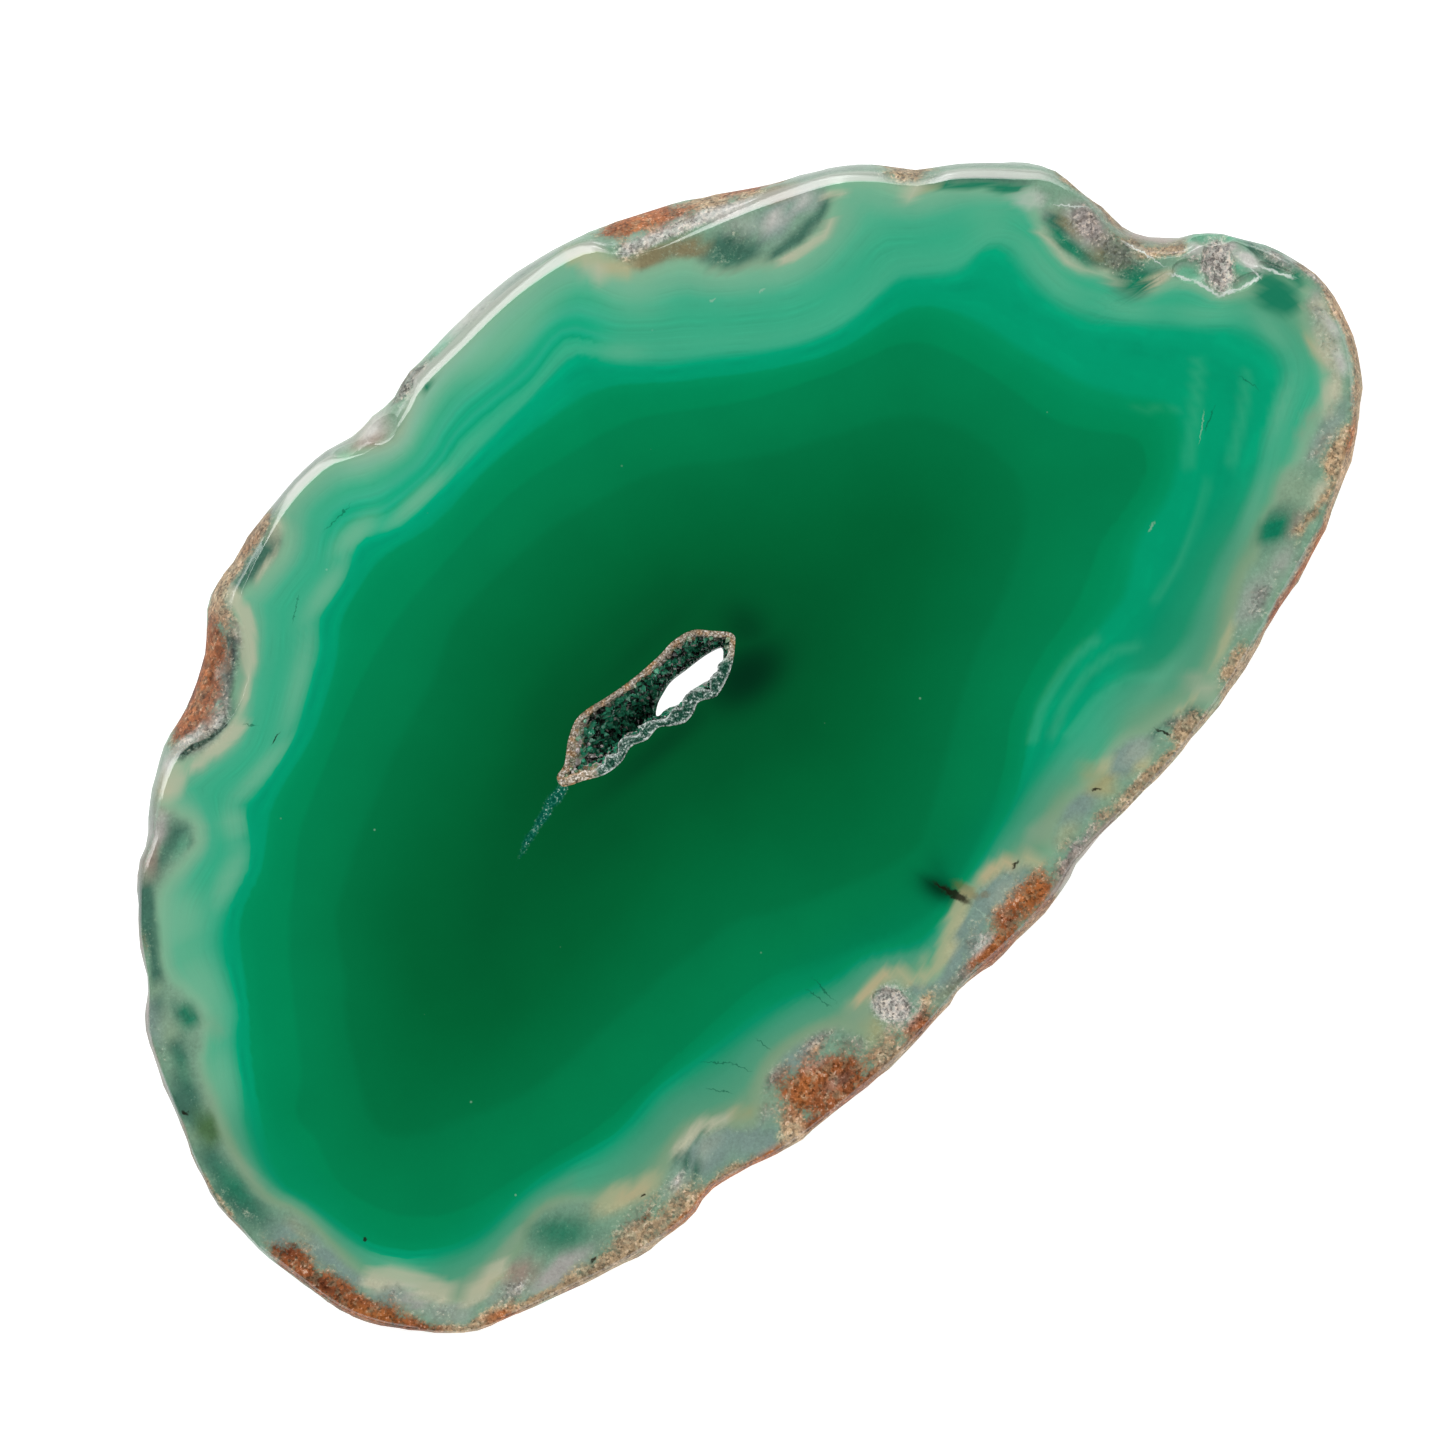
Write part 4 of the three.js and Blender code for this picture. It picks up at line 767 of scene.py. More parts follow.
def nearest(outline, points):
    """The point of an outline that is nearest to each point, seen along Z: which one it is, and
    how far away."""
    tree = kdtree.KDTree(len(outline))
    for index, (x, y) in enumerate(outline[:, :2]):
        tree.insert((x, y, 0), index)
    tree.balance()
    found = [tree.find((x, y, 0)) for x, y in points[:, :2]]
    return [index for _, index, _ in found], np.array([away for _, _, away in found])


def nearest_edge(points):
    """The width of the wall and of the polished arris at the nearest stretch of the rind, and how
    far that stretch looks to +Y, where the window light is."""
    outline = smooth_outline(RIND, AROUND)
    outline = np.column_stack([outline, outward(outline, 6)[:, 1]])
    return outline[nearest(outline, points)[0], 2:].T


def band_depth(points):
    """0 at the seam, then 1 to 6 at the six band edges inside it, and 7 at the hollow. It runs
    evenly between two neighbours. Also the distance in mm to the seam, negative in the rind."""
    edges = [smooth_outline(edge, EDGE_POINTS) for edge in
             (SEAM, PALE, BRIGHT, FIRST_DARK, MIDDLE, DEEP, CORE, MOUTH)]
    away = [nearest(edge, points)[1] for edge in edges]
    within = [inside(edge, points) for edge in edges]
    depth = np.zeros(len(points))
    for level in range(len(edges) - 1):
        between = within[level] & ~within[level + 1]
        share = away[level] / np.maximum(away[level] + away[level + 1], 1e-6)
        depth[between] = level + share[between]
    depth[within[-1]] = len(edges) - 1
    return depth, np.where(within[0], away[0], -away[0])


def patch_field(patches, points):
    """How strongly each point lies in a list of patches."""
    field = np.zeros(len(points))
    for x, y, long, short, turn, strength in patches:
        angle = math.radians(turn)
        dx, dy = points[:, 0] - x, points[:, 1] - y
        u = (dx * math.cos(angle) + dy * math.sin(angle)) / long
        v = (dy * math.cos(angle) - dx * math.sin(angle)) / short
        field = np.maximum(field, strength * np.exp(-0.8 * (u * u + v * v)))
    return field


def kind_field(patches, veins, points):
    """How strongly each point lies in the patches and veins of a kind of stone. A vein starts
    with its half width and strength, and then come the points of its line."""
    field = patch_field(patches, points)
    flat = points[:, :2]
    for half, strength, *line in veins:
        line = np.array(line).reshape(-1, 2)
        for start, stop in zip(line[:-1], line[1:]):
            along = stop - start
            share = np.clip((flat - start) @ along / (along @ along), 0, 1)
            away = np.linalg.norm(flat - start - share[:, None] * along, axis=1)
            field = np.maximum(field, strength * np.exp(-0.8 * (away / half) ** 2))
    return field


def write_hue(piece, name, colours):
    """A linear colour for each point of a piece, which its material reads by name."""
    layer = piece.data.attributes.new(name, "FLOAT_COLOR", "POINT")
    with_alpha = np.column_stack([colours, np.ones(len(colours))]).astype(np.float32)
    layer.data.foreach_set("color", with_alpha.ravel())


def smooth_stone(points):
    """The colour of the smooth kinds of stone in the rind at each point, and the stain that they
    leave on the green beside it, with how strong that stain is."""
    rind = np.tile(np.array(linear(RIND_HUE)[:3]), (len(points), 1))
    stain = rind.copy()
    amount = np.zeros(len(points))
    for name, (hue, patches, veins) in SMOOTH_STONE.items():
        colour = np.array(linear(hue)[:3])
        field = kind_field(patches, veins, points)
        cover = ease(field, 0.05, 0.95)[:, None]
        rind += (colour - rind) * cover
        spread = ease(field, 0.15, 0.95) * STAIN.get(name, 0)
        mixed = spread / np.maximum(spread + amount * (1 - spread), 1e-6)
        stain += (colour - stain) * mixed[:, None]
        amount = amount + spread * (1 - amount)
    return rind, stain, amount


def gritty_stone(points):
    """The colour of the grains at each point of the rind, and how strongly it lies in them."""
    hue = np.tile(np.array(linear(RIND_HUE)[:3]), (len(points), 1))
    amount = np.zeros(len(points))
    for colour, patches, veins in GRIT.values():
        field = kind_field(patches, veins, points)
        cover = ease(field, 0.1, 0.8)
        hue += (np.array(linear(colour)[:3]) - hue) * cover[:, None]
        amount = np.maximum(amount, field)
    return hue, amount


def mark_stone(slab):
    """Writes on each point of the slab what its material reads: its place among the growth bands,
    the colour of its stone and how strongly it lies in each kind of grain. The kinds of stone are
    looked up at a bent place, which makes their borders uneven, and low on the wall blotchy."""
    points = read_points(slab)
    depth, to_seam = band_depth(points)
    write_field(slab, "band", depth)
    write_field(slab, "growth", np.interp(depth, range(len(GROWTH_MM)), GROWTH_MM))
    write_field(slab, "seam", to_seam)
    for name, patches in (("sage", SAGE), ("shaded_dull_side", SHADED_DULL_SIDE), ("dim", DIM), ("fissure", FISSURE),
                          ("lined", LINED)):
        write_field(slab, name, patch_field(patches, points))
    write_field(slab, "streak", kind_field([], STREAKS, points))
    below = THICKNESS - points[:, 2]
    bent = points.copy()
    for axis, seed, low_seed in ((0, 12, 33), (1, 21, 47)):
        bent[:, axis] += 0.35 * noise_at(points, 2, seed) + 0.2 * noise_at(points, 0.8, seed + 5)
        bent[:, axis] += 2.4 * ease(below, 2.2, 4) * noise_at(points, 2.6, low_seed)
    rind, stain, amount = smooth_stone(bent)
    write_hue(slab, "rind_hue", rind)
    write_hue(slab, "stain_hue", stain)
    write_field(slab, "stain", amount)
    hue, amount = gritty_stone(bent)
    write_hue(slab, "grit_hue", hue)
    write_field(slab, "grit", amount)
    broken = broken_places(points)
    write_field(slab, "broken", broken)
    wall_width, arris, turned_up = nearest_edge(points)

    # Where the arris is wide it is well polished, and the unpolished wall begins further down. The wall's
    # colour carries a painted shade, darkest where the wall is steep and looks away from the camera, to the
    # window; where it looks away from the window the shading turns below zero and paints the wall lighter.
    ground = ease(arris, 0.25, 0.55)
    wall = ground * ease(below, 0.35, 0.9) + (1 - ground) * ease(below, 0.03, 0.35)
    wall *= points[:, 2] > 0.05
    write_field(slab, "wall", wall)
    painted_wall_shading = wall * (1 - 0.7 * ease(wall_width, 1, 2.4)) * (1 - broken)
    write_field(slab, "painted_wall_shading", painted_wall_shading * np.clip(0.5 + 0.9 * turned_up, -0.4, 1.4))
    # How much of the arris is painted paler grey in the material, a painted highlight that whitens its
    # reflection; it also makes the arris a little rougher.
    write_field(slab, "arris", ground * ease(below, 0, 0.08) * ease(below, 0.8, 0.4))


def linear(colour):
    """An sRGB hex colour as linear red, green, blue and alpha."""
    channels = [int(colour[i:i + 2], 16) / 255 for i in (1, 3, 5)]
    return (*(c / 12.92 if c <= 0.04045 else ((c + 0.055) / 1.055) ** 2.4 for c in channels), 1.0)


def add(tree, kind, *inputs, named=None, stops=None, out=0, **settings):
    """Adds a node with its settings, gives its inputs a value, a hex colour or a link each, in
    their order or by name, and returns the output that is asked for."""
    node = tree.nodes.new("ShaderNode" + kind)
    for name, value in settings.items():
        setattr(node, name, value)
    if stops:
        ramp = node.color_ramp
        while len(ramp.elements) < len(stops):
            ramp.elements.new(0.5)
        for element, (place, colour) in zip(ramp.elements, stops):
            element.position = place
            element.color = linear(colour) if isinstance(colour, str) else (colour,) * 3 + (1.0,)
    for name, value in [*enumerate(inputs), *(named or {}).items()]:
        if isinstance(value, bpy.types.NodeSocket):
            tree.links.new(value, node.inputs[name])
        elif value is not None:
            node.inputs[name].default_value = linear(value) if isinstance(value, str) else value
    return node.outputs[out] if len(node.outputs) else node


def new_material(name):
    """A material without nodes, and the function that adds a node to it."""
    material = bpy.data.materials.new(name)
    material.use_nodes = True
    material.node_tree.nodes.clear()
    return material, functools.partial(add, material.node_tree)


# Settings that many nodes share
PLUS, TIMES, SPREAD, SCALED = ({"operation": word} for word in ("ADD", "MULTIPLY", "MULTIPLY_ADD", "SCALE"))
SMOOTH = {"interpolation_type": "SMOOTHSTEP"}
MIXED = {"data_type": "RGBA", "out": 2}

# The colours of the growth bands from the seam (0) to the hollow (7). From the bright green inwards (2)
# they are the same all round. Outside it the upper side has fine dark lines, the ends are plainer, and the
# lower side is duller and sage, painted darker as a painted shade where the light falls off.
INNER_BANDS = [
    (2.04, "#00a579"), (2.45, "#01a276"), (2.82, "#019b6d"), (2.94, "#01925f"), (3.3, "#008c59"),
    (3.86, "#008955"), (3.98, "#018250"), (4.5, "#017f4c"), (4.9, "#017a48"), (5.04, "#017342"),
    (5.5, "#006d3c"), (6, "#006535"), (6.4, "#005c2f"), (7, "#01542a"),
]
UPPER_BANDS = [
    (0, "#98b397"), (0.1, "#8db69c"), (0.23, "#7fb99c"), (0.32, "#6db694"), (0.42, "#52b18c"),
    (0.52, "#3caf87"), (0.66, "#3eaf8b"), (0.73, "#2aae87"), (0.79, "#19ac81"), (0.84, "#1aab81"),
    (0.88, "#2aad87"), (0.93, "#18ac83"), (0.98, "#0da579"), (1.1, "#2cae85"), (1.45, "#3ab088"),
    (1.75, "#35af87"), (1.93, "#12a87e"),
] + INNER_BANDS
SIDE_BANDS = [
    (0, "#7fb494"), (0.25, "#6bb190"), (0.45, "#45ae89"), (0.7, "#38ac85"), (1, "#42ad87"),
    (1.5, "#3cab85"), (1.85, "#1da57c"), (2.04, "#04a175"), (2.45, "#019d70"),
] + INNER_BANDS[2:]
LOWER_BANDS = [
    (0, "#809f80"), (0.5, "#729d7d"), (1, "#559d7c"), (1.5, "#459b79"), (2, "#20956d"),
    (2.4, "#08936a"), (3, "#028f5e"), (3.5, "#018a5b"), (4, "#008052"), (4.5, "#00794a"),
    (5, "#017344"), (5.5, "#016b3e"), (6, "#036136"), (6.4, "#005a2e"), (7, "#01542a"),
]

# What the agate's material reads from the points of the slab. Of some it takes a smooth step:
# from where to where, and how strong it is at the most.
FIELDS = {
    "band": None, "growth": None, "seam": None, "fissure": None, "stain": None, "stain_hue": None,
    "rind_hue": None, "grit": None, "grit_hue": None, "broken": None, "wall": None, "painted_wall_shading": None,
    "arris": None, "shaded_dull_side": (0.15, 0.75, 1), "lined": (0.25, 0.7, 1), "sage": (0.05, 0.95, 0.75),
    "streak": (0, 1, 0.2), "dim": (0, 1.1, 1),
}
# Patterns in the agate: lump size in mm, detail, roughness, and the shift that sets them apart.
# The quartz grains are about 0.4 mm. The speck is finer, and cells are single grains.
CELL_MM, DOT_MM = 0.25, 2.6
GRAINS = {
    "speck": (0.2, 2.5, 0.7, 4), "clump": (1.3, 3, 0.6, 8), "wave": (5, 3, 0.5, 0),
    "tremble": (0.9, 2, 0.5, 3), "calm": (3, 2, 0.5, 12), "cloud": (7, 4, 0.55, 30),
    "faint": (0.5, 2, 0.6, 17), "mottle": (1.7, 3, 0.6, 5), "drift": (0.7, 2, 0.6, 23),
    "patch": (1, 2, 0.5, 41),
}
# What the patterns sway: the value in the middle, and how far each pattern takes it in all
SWAYS = {
    "band": (0, {"wave": 0.09, "tremble": 0.022}),
    "growth": (0, {"wave": 0.54}),
    "green": (1, {"cloud": 0.16, "faint": 0.05}),
    "seam": (0, {"clump": 0.5}),
    "fissure": (0, {"clump": 0.7}),
    "rind": (1, {"mottle": 0.45, "speck": 0.5, "cell": 0.12}),
    "cover": (0, {"clump": 1.3, "speck": 1.3}),
    "sparkle": (-0.02, {"speck": 0.6, "cell": 0.3, "clump": 0.25}),
    "patchwork": (1, {"patch": 1.3}),
    "relief": (0, {"speck": 1, "cell": 0.6}),
}
FISSURE_HUES = [(0.36, "#00463a"), (0.5, "#08604e"), (0.6, "#35826f"), (0.66, "#adc8bb")]
GRAIN_LIGHT = [(0.26, 0.34), (0.36, 0.7), (0.45, 0.95), (0.54, 1.15), (0.64, 1.45)]


# The strokes in the stone with their hue and strength, in the order in which one covers the other
STROKES = [
    ("#0b5a40", 0.6, DARK_STROKES), ("#7d5a22", 0.4, OCHRE_STROKES), ("#1d140c", 0.9, BLACK_STROKES),
    ("#a9c6b0", 0.4, PALE_AND_HIGHLIGHT_STROKES), ("#d3ddd5", 0.8, PAINTED_GLINT_STROKES),
]


def polished_agate():
    """Banded chalcedony, sawn and polished: a glassy surface over cloudy green growth bands, and
    round them the crystalline rind, smooth and smoky or granular in rust, tan and quartz grey."""
    material, node = new_material("banded_agate_polished")
    place = node("VectorMath", node("TexCoord", out="Object"), None, None, 1 / MM, **SCALED)
    grain, sway, field = {}, {}, {}
    for name, (size, detail, roughness, shift) in GRAINS.items():
        moved = node("Mapping", place, (shift,) * 3)
        grain[name] = node("TexNoise", moved, None, 1 / size, detail, roughness)
    grain["cell"] = node("SeparateColor", node("TexVoronoi", place, None, 1 / CELL_MM, out="Color"))
    for name, (middle, parts) in SWAYS.items():
        sway[name] = middle - sum(parts.values()) / 2
        for pattern, height in parts.items():
            sway[name] = node("Math", grain[pattern], height, sway[name], **SPREAD)
    for name, stepped in FIELDS.items():
        field[name] = node("Attribute", attribute_name=name, out="Color" if "hue" in name else "Fac")
        if stepped:
            low, high, most = stepped
            field[name] = node("MapRange", field[name], low, high, 0, most, **SMOOTH)

    # Growth bands: the band number, waved a little, gives the colour, and fine lines run along it.
    waved = node("Math", field["band"], sway["band"], **PLUS)
    along = node("Math", waved, 7, operation="DIVIDE", use_clamp=True)
    green = "#00a579"
    for amount, bands in ((1, SIDE_BANDS), (field["lined"], UPPER_BANDS), (field["shaded_dull_side"], LOWER_BANDS)):
        hues = node("ValToRGB", along, stops=[(level / 7, hue) for level, hue in bands])
        green = node("Mix", named={0: amount, 6: green, 7: hues}, **MIXED)
    growth = node("Math", field["growth"], sway["growth"], **PLUS)
    fine = node("TexNoise", None, growth, 1.6, 3, 0.6, noise_dimensions="1D")
    fine = node("Math", fine, 0.38, -0.19, **SPREAD)
    for weaker in (node("MapRange", waved, 3.4, 2.2, **SMOOTH),
                   node("MapRange", grain["calm"], 0.35, 0.65, **SMOOTH)):
        fine = node("Math", fine, weaker, **TIMES)
    plainer = node("Math", field["shaded_dull_side"], -0.8, 1, **SPREAD)
    lines = node("Math", fine, plainer, sway["green"], **SPREAD)
    green = node("VectorMath", green, None, None, lines, **SCALED)

    # Over them: sage, paler streaks, the dim stone by the hollow, pale dots and the fissure. Along
    # the seam the green turns to sage and cream.
    sage = node("Math", field["sage"], node("MapRange", waved, 2.05, 1.9, **SMOOTH), **TIMES)
    dots = node("TexVoronoi", place, None, 1 / DOT_MM)
    few = node("MapRange", node("SeparateColor", dots.node.outputs["Color"]), 0.72, 0.9, **SMOOTH)
    dots = node("Math", node("MapRange", dots, 0.055, 0.025, 0, 0.35, **SMOOTH), few, **TIMES)
    fissure = node("Math", field["fissure"], sway["fissure"], **PLUS)
    fissure = node("MapRange", fissure, 0.35, 0.75, 0, 0.85, **SMOOTH)
    fissure_hue = node("ValToRGB", grain["speck"], stops=FISSURE_HUES)
    seam = node("Math", field["seam"], sway["seam"], **PLUS)
    cream = node("MapRange", seam, 1.5, 0.2, 0, 0.12, **SMOOTH)
    for amount, hue in ((sage, "#78b896"), (field["streak"], "#5abf97"), (field["dim"], "#00301a"),
                        (dots, "#9fd0b4"), (fissure, fissure_hue), (cream, "#a9b592"),
                        (field["stain"], field["stain_hue"])):
        green = node("Mix", named={0: amount, 6: green, 7: hue}, **MIXED)

    # The rind: smooth smoky stone, mottled a little, and grains whose tone varies, with bright facets as
    # painted glints and dark gaps between them as painted shade
    rind = node("VectorMath", field["rind_hue"], None, None, sway["rind"], **SCALED)
    cover = node("Math", field["grit"], sway["cover"], **PLUS)
    cover = node("MapRange", cover, 0.2, 1, **SMOOTH)
    contrast = node("Math", field["broken"], 0.3, 1, **SPREAD)
    sparkle = node("Math", sway["sparkle"], contrast, 0.47, **SPREAD)
    greyer = node("MapRange", grain["drift"], 0.5, 0.38, 0, 0.2, **SMOOTH)
    warmer = node("MapRange", grain["drift"], 0.46, 0.62, 0, 0.35, **SMOOTH)
    grit = node("Mix", named={0: greyer, 6: field["grit_hue"], 7: field["rind_hue"]}, **MIXED)
    tint = node("Mix", named={0: warmer, 6: (1, 1, 1, 1), 7: (1.07, 0.97, 0.8, 1)}, **MIXED)
    for factor in (node("ValToRGB", sparkle, stops=GRAIN_LIGHT), tint):
        grit = node("VectorMath", grit, factor, **TIMES)
    grit = node("VectorMath", grit, None, None, sway["patchwork"], **SCALED)
    # Painted glints: near-white specks where the grains sparkle
    painted_glints = node("Math", sway["patchwork"], 0.15, sparkle, **SPREAD)
    painted_glints = node("MapRange", painted_glints, 0.73, 0.87, 0, 0.54, **SMOOTH)
    in_stone = node("MapRange", seam, -0.6, 0.55, **SMOOTH)
    grit = node("Mix", named={0: painted_glints, 6: grit, 7: "#edd9c4"}, **MIXED)
    rind = node("Mix", named={0: cover, 6: rind, 7: grit}, **MIXED)
    colour = node("Mix", named={0: in_stone, 6: rind, 7: green}, **MIXED)

    # Hairline cracks, pits, stains and specks, and painted highlights along glassy edges, drawn a little
    # shaky, each fading at its ends
    shaky = node("TexNoise", place, None, 2.2, 2, out="Color")
    shaky = node("VectorMath", shaky, (0.5, 0.5, 0.5), operation="SUBTRACT")
    drawn = node("VectorMath", shaky, (0.7, 0.7, 0), place, **SPREAD)
    for hue, strength, lines in STROKES:
        total = 0
        for x1, y1, x2, y2, width in lines:
            middle = ((x1 + x2) / 2, (y1 + y2) / 2, THICKNESS)
            turn = (0, 0, math.atan2(y2 - y1, x2 - x1))
            half = (math.hypot(x2 - x1, y2 - y1) / 2 + width / 2, width / 2, 1)
            local = node("Mapping", drawn, middle, turn, half, vector_type="TEXTURE")
            reach = node("VectorMath", local, operation="LENGTH", out="Value")
            mark = node("MapRange", reach, 1.35, 0.5, 0, strength, **SMOOTH)
            total = node("Math", total, mark, operation="MAXIMUM")
        colour = node("Mix", named={0: total, 6: colour, 7: hue}, **MIXED)

    # The ground arris is painted greyer and paler than the face, a painted highlight, and the wall below it
    # is painted darker, a painted shade, and is rough.
    arris = node("Math", field["arris"], 0.7, **TIMES)
    colour = node("Mix", named={0: arris, 6: colour, 7: "#bdbdb6"}, **MIXED)
    # Painted shade and light on the wall: its colour is scaled down by the painted wall shading, and up
    # where that is below zero.
    wall_painted_shading_factor = node("Math", field["painted_wall_shading"], -PAINTED_WALL_SHADING, 1, **SPREAD)
    colour = node("VectorMath", colour, None, None, wall_painted_shading_factor, **SCALED)
    rough = []
    for name, plain, granular in (("wall", 0.7, 0.3), ("broken", 0.2, 0.8)):
        part = node("Math", cover, granular, plain, **SPREAD)
        rough.append(node("Math", field[name], part, **TIMES))
    rough = node("Math", *rough, operation="MAXIMUM", use_clamp=True)
    relief = node("Bump", node("Math", rough, 0.5, **TIMES), 0.1 * MM, named={"Height": sway["relief"]})
    polish = node("Math", field["arris"], 0.08, 0.07, **SPREAD)
    duller = node("Math", cover, 0.34, 0.38, **SPREAD)
    shader = node("BsdfPrincipled", named={
        "Base Color": colour, "IOR": 1.54, "Normal": relief,
        "Roughness": node("Math", rough, duller, polish, **SPREAD)})
    node("OutputMaterial", shader)
    return material


DRUSE_HUES = {
    "deep": [(0, "#030504"), (0.22, "#081a13"), (0.36, "#165a42"), (0.55, "#278262"),
             (0.74, "#3a9a77"), (0.8, "#7a716c"), (0.92, "#b3a8a4"), (1, "#e9e6e4")],
    "tan": [(0.32, "#3c3a30"), (0.42, "#7d735f"), (0.5, "#a3927c"), (0.57, "#b9ab98"), (0.64, "#ece7df")],
    "orange": [(0.32, "#4a3a28"), (0.45, "#9a7650"), (0.56, "#bb9166"), (0.64, "#eadcc6")],
    "glass": [(0.34, "#12302a"), (0.47, "#3b5c50"), (0.56, "#71897e"), (0.64, "#d4dcd8")],
    "clear": [(0.36, "#0a2e22"), (0.56, "#1b4f3e"), (0.68, "#6f9183")],
}


def quartz_druse():
    """Small quartz crystals on a thin chalcedony crust: dark green and near black in patches, with grey and
    pinkish facets. Its sawn rim is tan and grey on the upper side, and glassy on the lower, with a painted
    highlight along the edges of its lobes."""
    material, node = new_material("quartz_druse_crystals")
    place = node("TexCoord", out="Object")
    grains = node("TexNoise", place, None, 1 / (0.2 * MM), 2, 0.7)
    drift = node("TexNoise", place, None, 1 / (0.9 * MM), 2)
    field = {name: node("Attribute", attribute_name=name, out="Fac")
             for name in ("tone", "rim", "glass", "edge")}
    hue = {name: node("ValToRGB", field["tone"] if name == "deep" else grains, stops=stops)
           for name, stops in DRUSE_HUES.items()}
    # The colour of the painted highlight on the edges of the glassy lobes
    hue["painted_edge_highlight"] = "#d6dad6"
    warm = node("MapRange", drift, 0.5, 0.64, **SMOOTH)
    pool = node("MapRange", drift, 0.44, 0.54, **SMOOTH)
    worn = node("MapRange", grains, 0.36, 0.56)
    edge = node("Math", field["edge"], worn, **TIMES)
    for amount, below, above in ((warm, "tan", "orange"), (pool, "glass", "clear"),
                                 (field["rim"], "deep", "tan"), (field["glass"], "deep", "glass"),
                                 (edge, "deep", "painted_edge_highlight")):
        hue[below] = node("Mix", named={0: amount, 6: hue[below], 7: hue[above]}, **MIXED)
    relief = node("Bump", 0.3, 0.1 * MM, named={"Height": grains})
    shader = node("BsdfPrincipled", named={
        "Base Color": hue["deep"], "Roughness": 0.2, "IOR": 1.54, "Normal": relief})
    node("OutputMaterial", shader)
    return material


DRUSE_AROUND = 420
DRUSE_ROWS = 22          # rows down its inner wall
DRUSE_RIM = 0.5          # mean width of the sawn rim of the druse on the polished face
GLASSY_RIM = 1.15        # and of its glassy lobes on the lower side
DRUSE_SUNK = 0.02        # how far the rim lies below the polished face
DRUSE_FALL = 0.22        # how much lower it is at its inner edge
DRUSE_BASE = 0.05        # height of the crust's underside over the back face
CRYSTAL_PLACES = 720     # places round the hollow where a crystal may stand
CRYSTALS = 3300          # crystals that are tried. One that sticks out is left out.
CRYSTAL_SIDES = 6


def druse_rim(mouth):
    """The width of the sawn rim at each point of the mouth, and how glassy it is there."""
    turn = outward(mouth, 6)
    glassy = ease(-turn[:, 1], 0.2, 0.6) * ease(mouth[:, 0], -14.0, -12.8) * ease(mouth[:, 0], 3.4, 2.0)
    flat = np.column_stack([mouth[:, :2], np.zeros(len(mouth))])
    width = DRUSE_RIM + 0.16 * noise_at(flat, 1.3, 8.0) + 0.12 * noise_at(flat, 0.5, 3.0)
    width += 0.35 * ease(mouth[:, 0], -12.6, -14.4) * ease(-turn[:, 1], 0.0, 0.5)
    return width + glassy * (GLASSY_RIM - DRUSE_RIM + 0.9 * noise_at(flat, 1.7, 5.0)), glassy


def druse_tone(places, chance):
    """How light the druse is at each place: black gaps and green patches a bit under a mm wide,
    with grey and pinkish facets, mostly at the lower left and along the lower side."""
    patchy = noise_at(places, 0.6, 14.0) + 0.7 * noise_at(places, 0.3, 3.0)
    green = np.clip(0.38 + 0.80 * patchy + chance.normal(0, 0.10, len(places)), 0, 0.74)
    left = np.exp(-((places[:, 0] + 14.0) / 2.6) ** 2)
    low = ease(places[:, 1], 0.6, -1.4) * ease(places[:, 0], 1.0, -3.0)
    pink = 0.05 + 0.38 * left + 0.30 * low
    light = chance.uniform(0.79, 0.97, len(places))
    return np.where(chance.uniform(0, 1, len(places)) < pink, light, green)


def druse_wall():
    """The crust that lines the hollow: sawn flat at the polished face, and lumpy inside, where
    it slopes down to the opening."""
    rows = [("top", s) for s in (0.0, 0.12, 0.24, 0.5, 0.8, 1.0)]
    rows += [("inner", s) for s in np.linspace(0, 1, DRUSE_ROWS + 1)[1:]]
    rows += [("under", s) for s in (0.5, 1.0)]
    rows += [("outer", s) for s in np.linspace(0, 1, 6)[1:-1]]
    piece, column, row = ring_of_rows("hollow_druse", DRUSE_AROUND, len(rows))
    mouth = smooth_outline(MOUTH, DRUSE_AROUND)
    opening = smooth_outline(OPENING, DRUSE_AROUND)
    mouth_out = outward(mouth, 4)
    width, glassy = druse_rim(mouth)
    outer_top = mouth + 0.05 * mouth_out
    inner_top = mouth - width[:, None] * mouth_out
    outer_foot = opening + (CRUST_FOOT + 0.12) * outward(opening, 5)
    lattice = np.empty((len(rows), DRUSE_AROUND, 3))
    tones, edges, rims = np.zeros((3, len(rows), DRUSE_AROUND))
    chance = np.random.default_rng(5)
    high = THICKNESS - DRUSE_SUNK
    for number, (part, share) in enumerate(rows):
        if part == "top":
            flat = outer_top + share * (inner_top - outer_top)
            height = high - DRUSE_FALL * share ** 2
            rims[number] = 1.0
            # Painted highlight: on the glassy lobes the top rows are painted bright along their edges.
            edges[number] = glassy * {0.0: 0.8, 0.12: 0.6, 1.0: 0.7}.get(share, 0.0)
        elif part == "inner":
            flat = inner_top + share * (opening - inner_top)
            height = high - DRUSE_FALL - (high - DRUSE_FALL - DRUSE_BASE) * share
            rims[number] = max(0.0, 1 - 6 * share)
        elif part == "under":
            flat = opening + share * (outer_foot - opening)
            height = DRUSE_BASE
        else:
            flat = outer_foot + share * (outer_top - outer_foot)
            height = DRUSE_BASE + (high - DRUSE_BASE) * share
        places = np.column_stack([flat, np.full(DRUSE_AROUND, height)])
        if part == "inner":
            swell = 0.20 * noise_at(places, 1.1, 2.0) + 0.14 * noise_at(places, 0.45, 6.0)
            places[:, :2] -= mouth_out * (swell * math.sin(math.pi * min(share + 0.1, 1)))[:, None]
        lattice[number] = places
        tones[number] = druse_tone(places, chance)
    write_points(piece, lattice[row, column])
    face_outwards(piece)
    for name, values in (("rim", rims * (1 - glassy)), ("glass", rims * glassy), ("edge", edges),
                         ("tone", tones)):
        write_field(piece, name, values[row, column])
    return piece


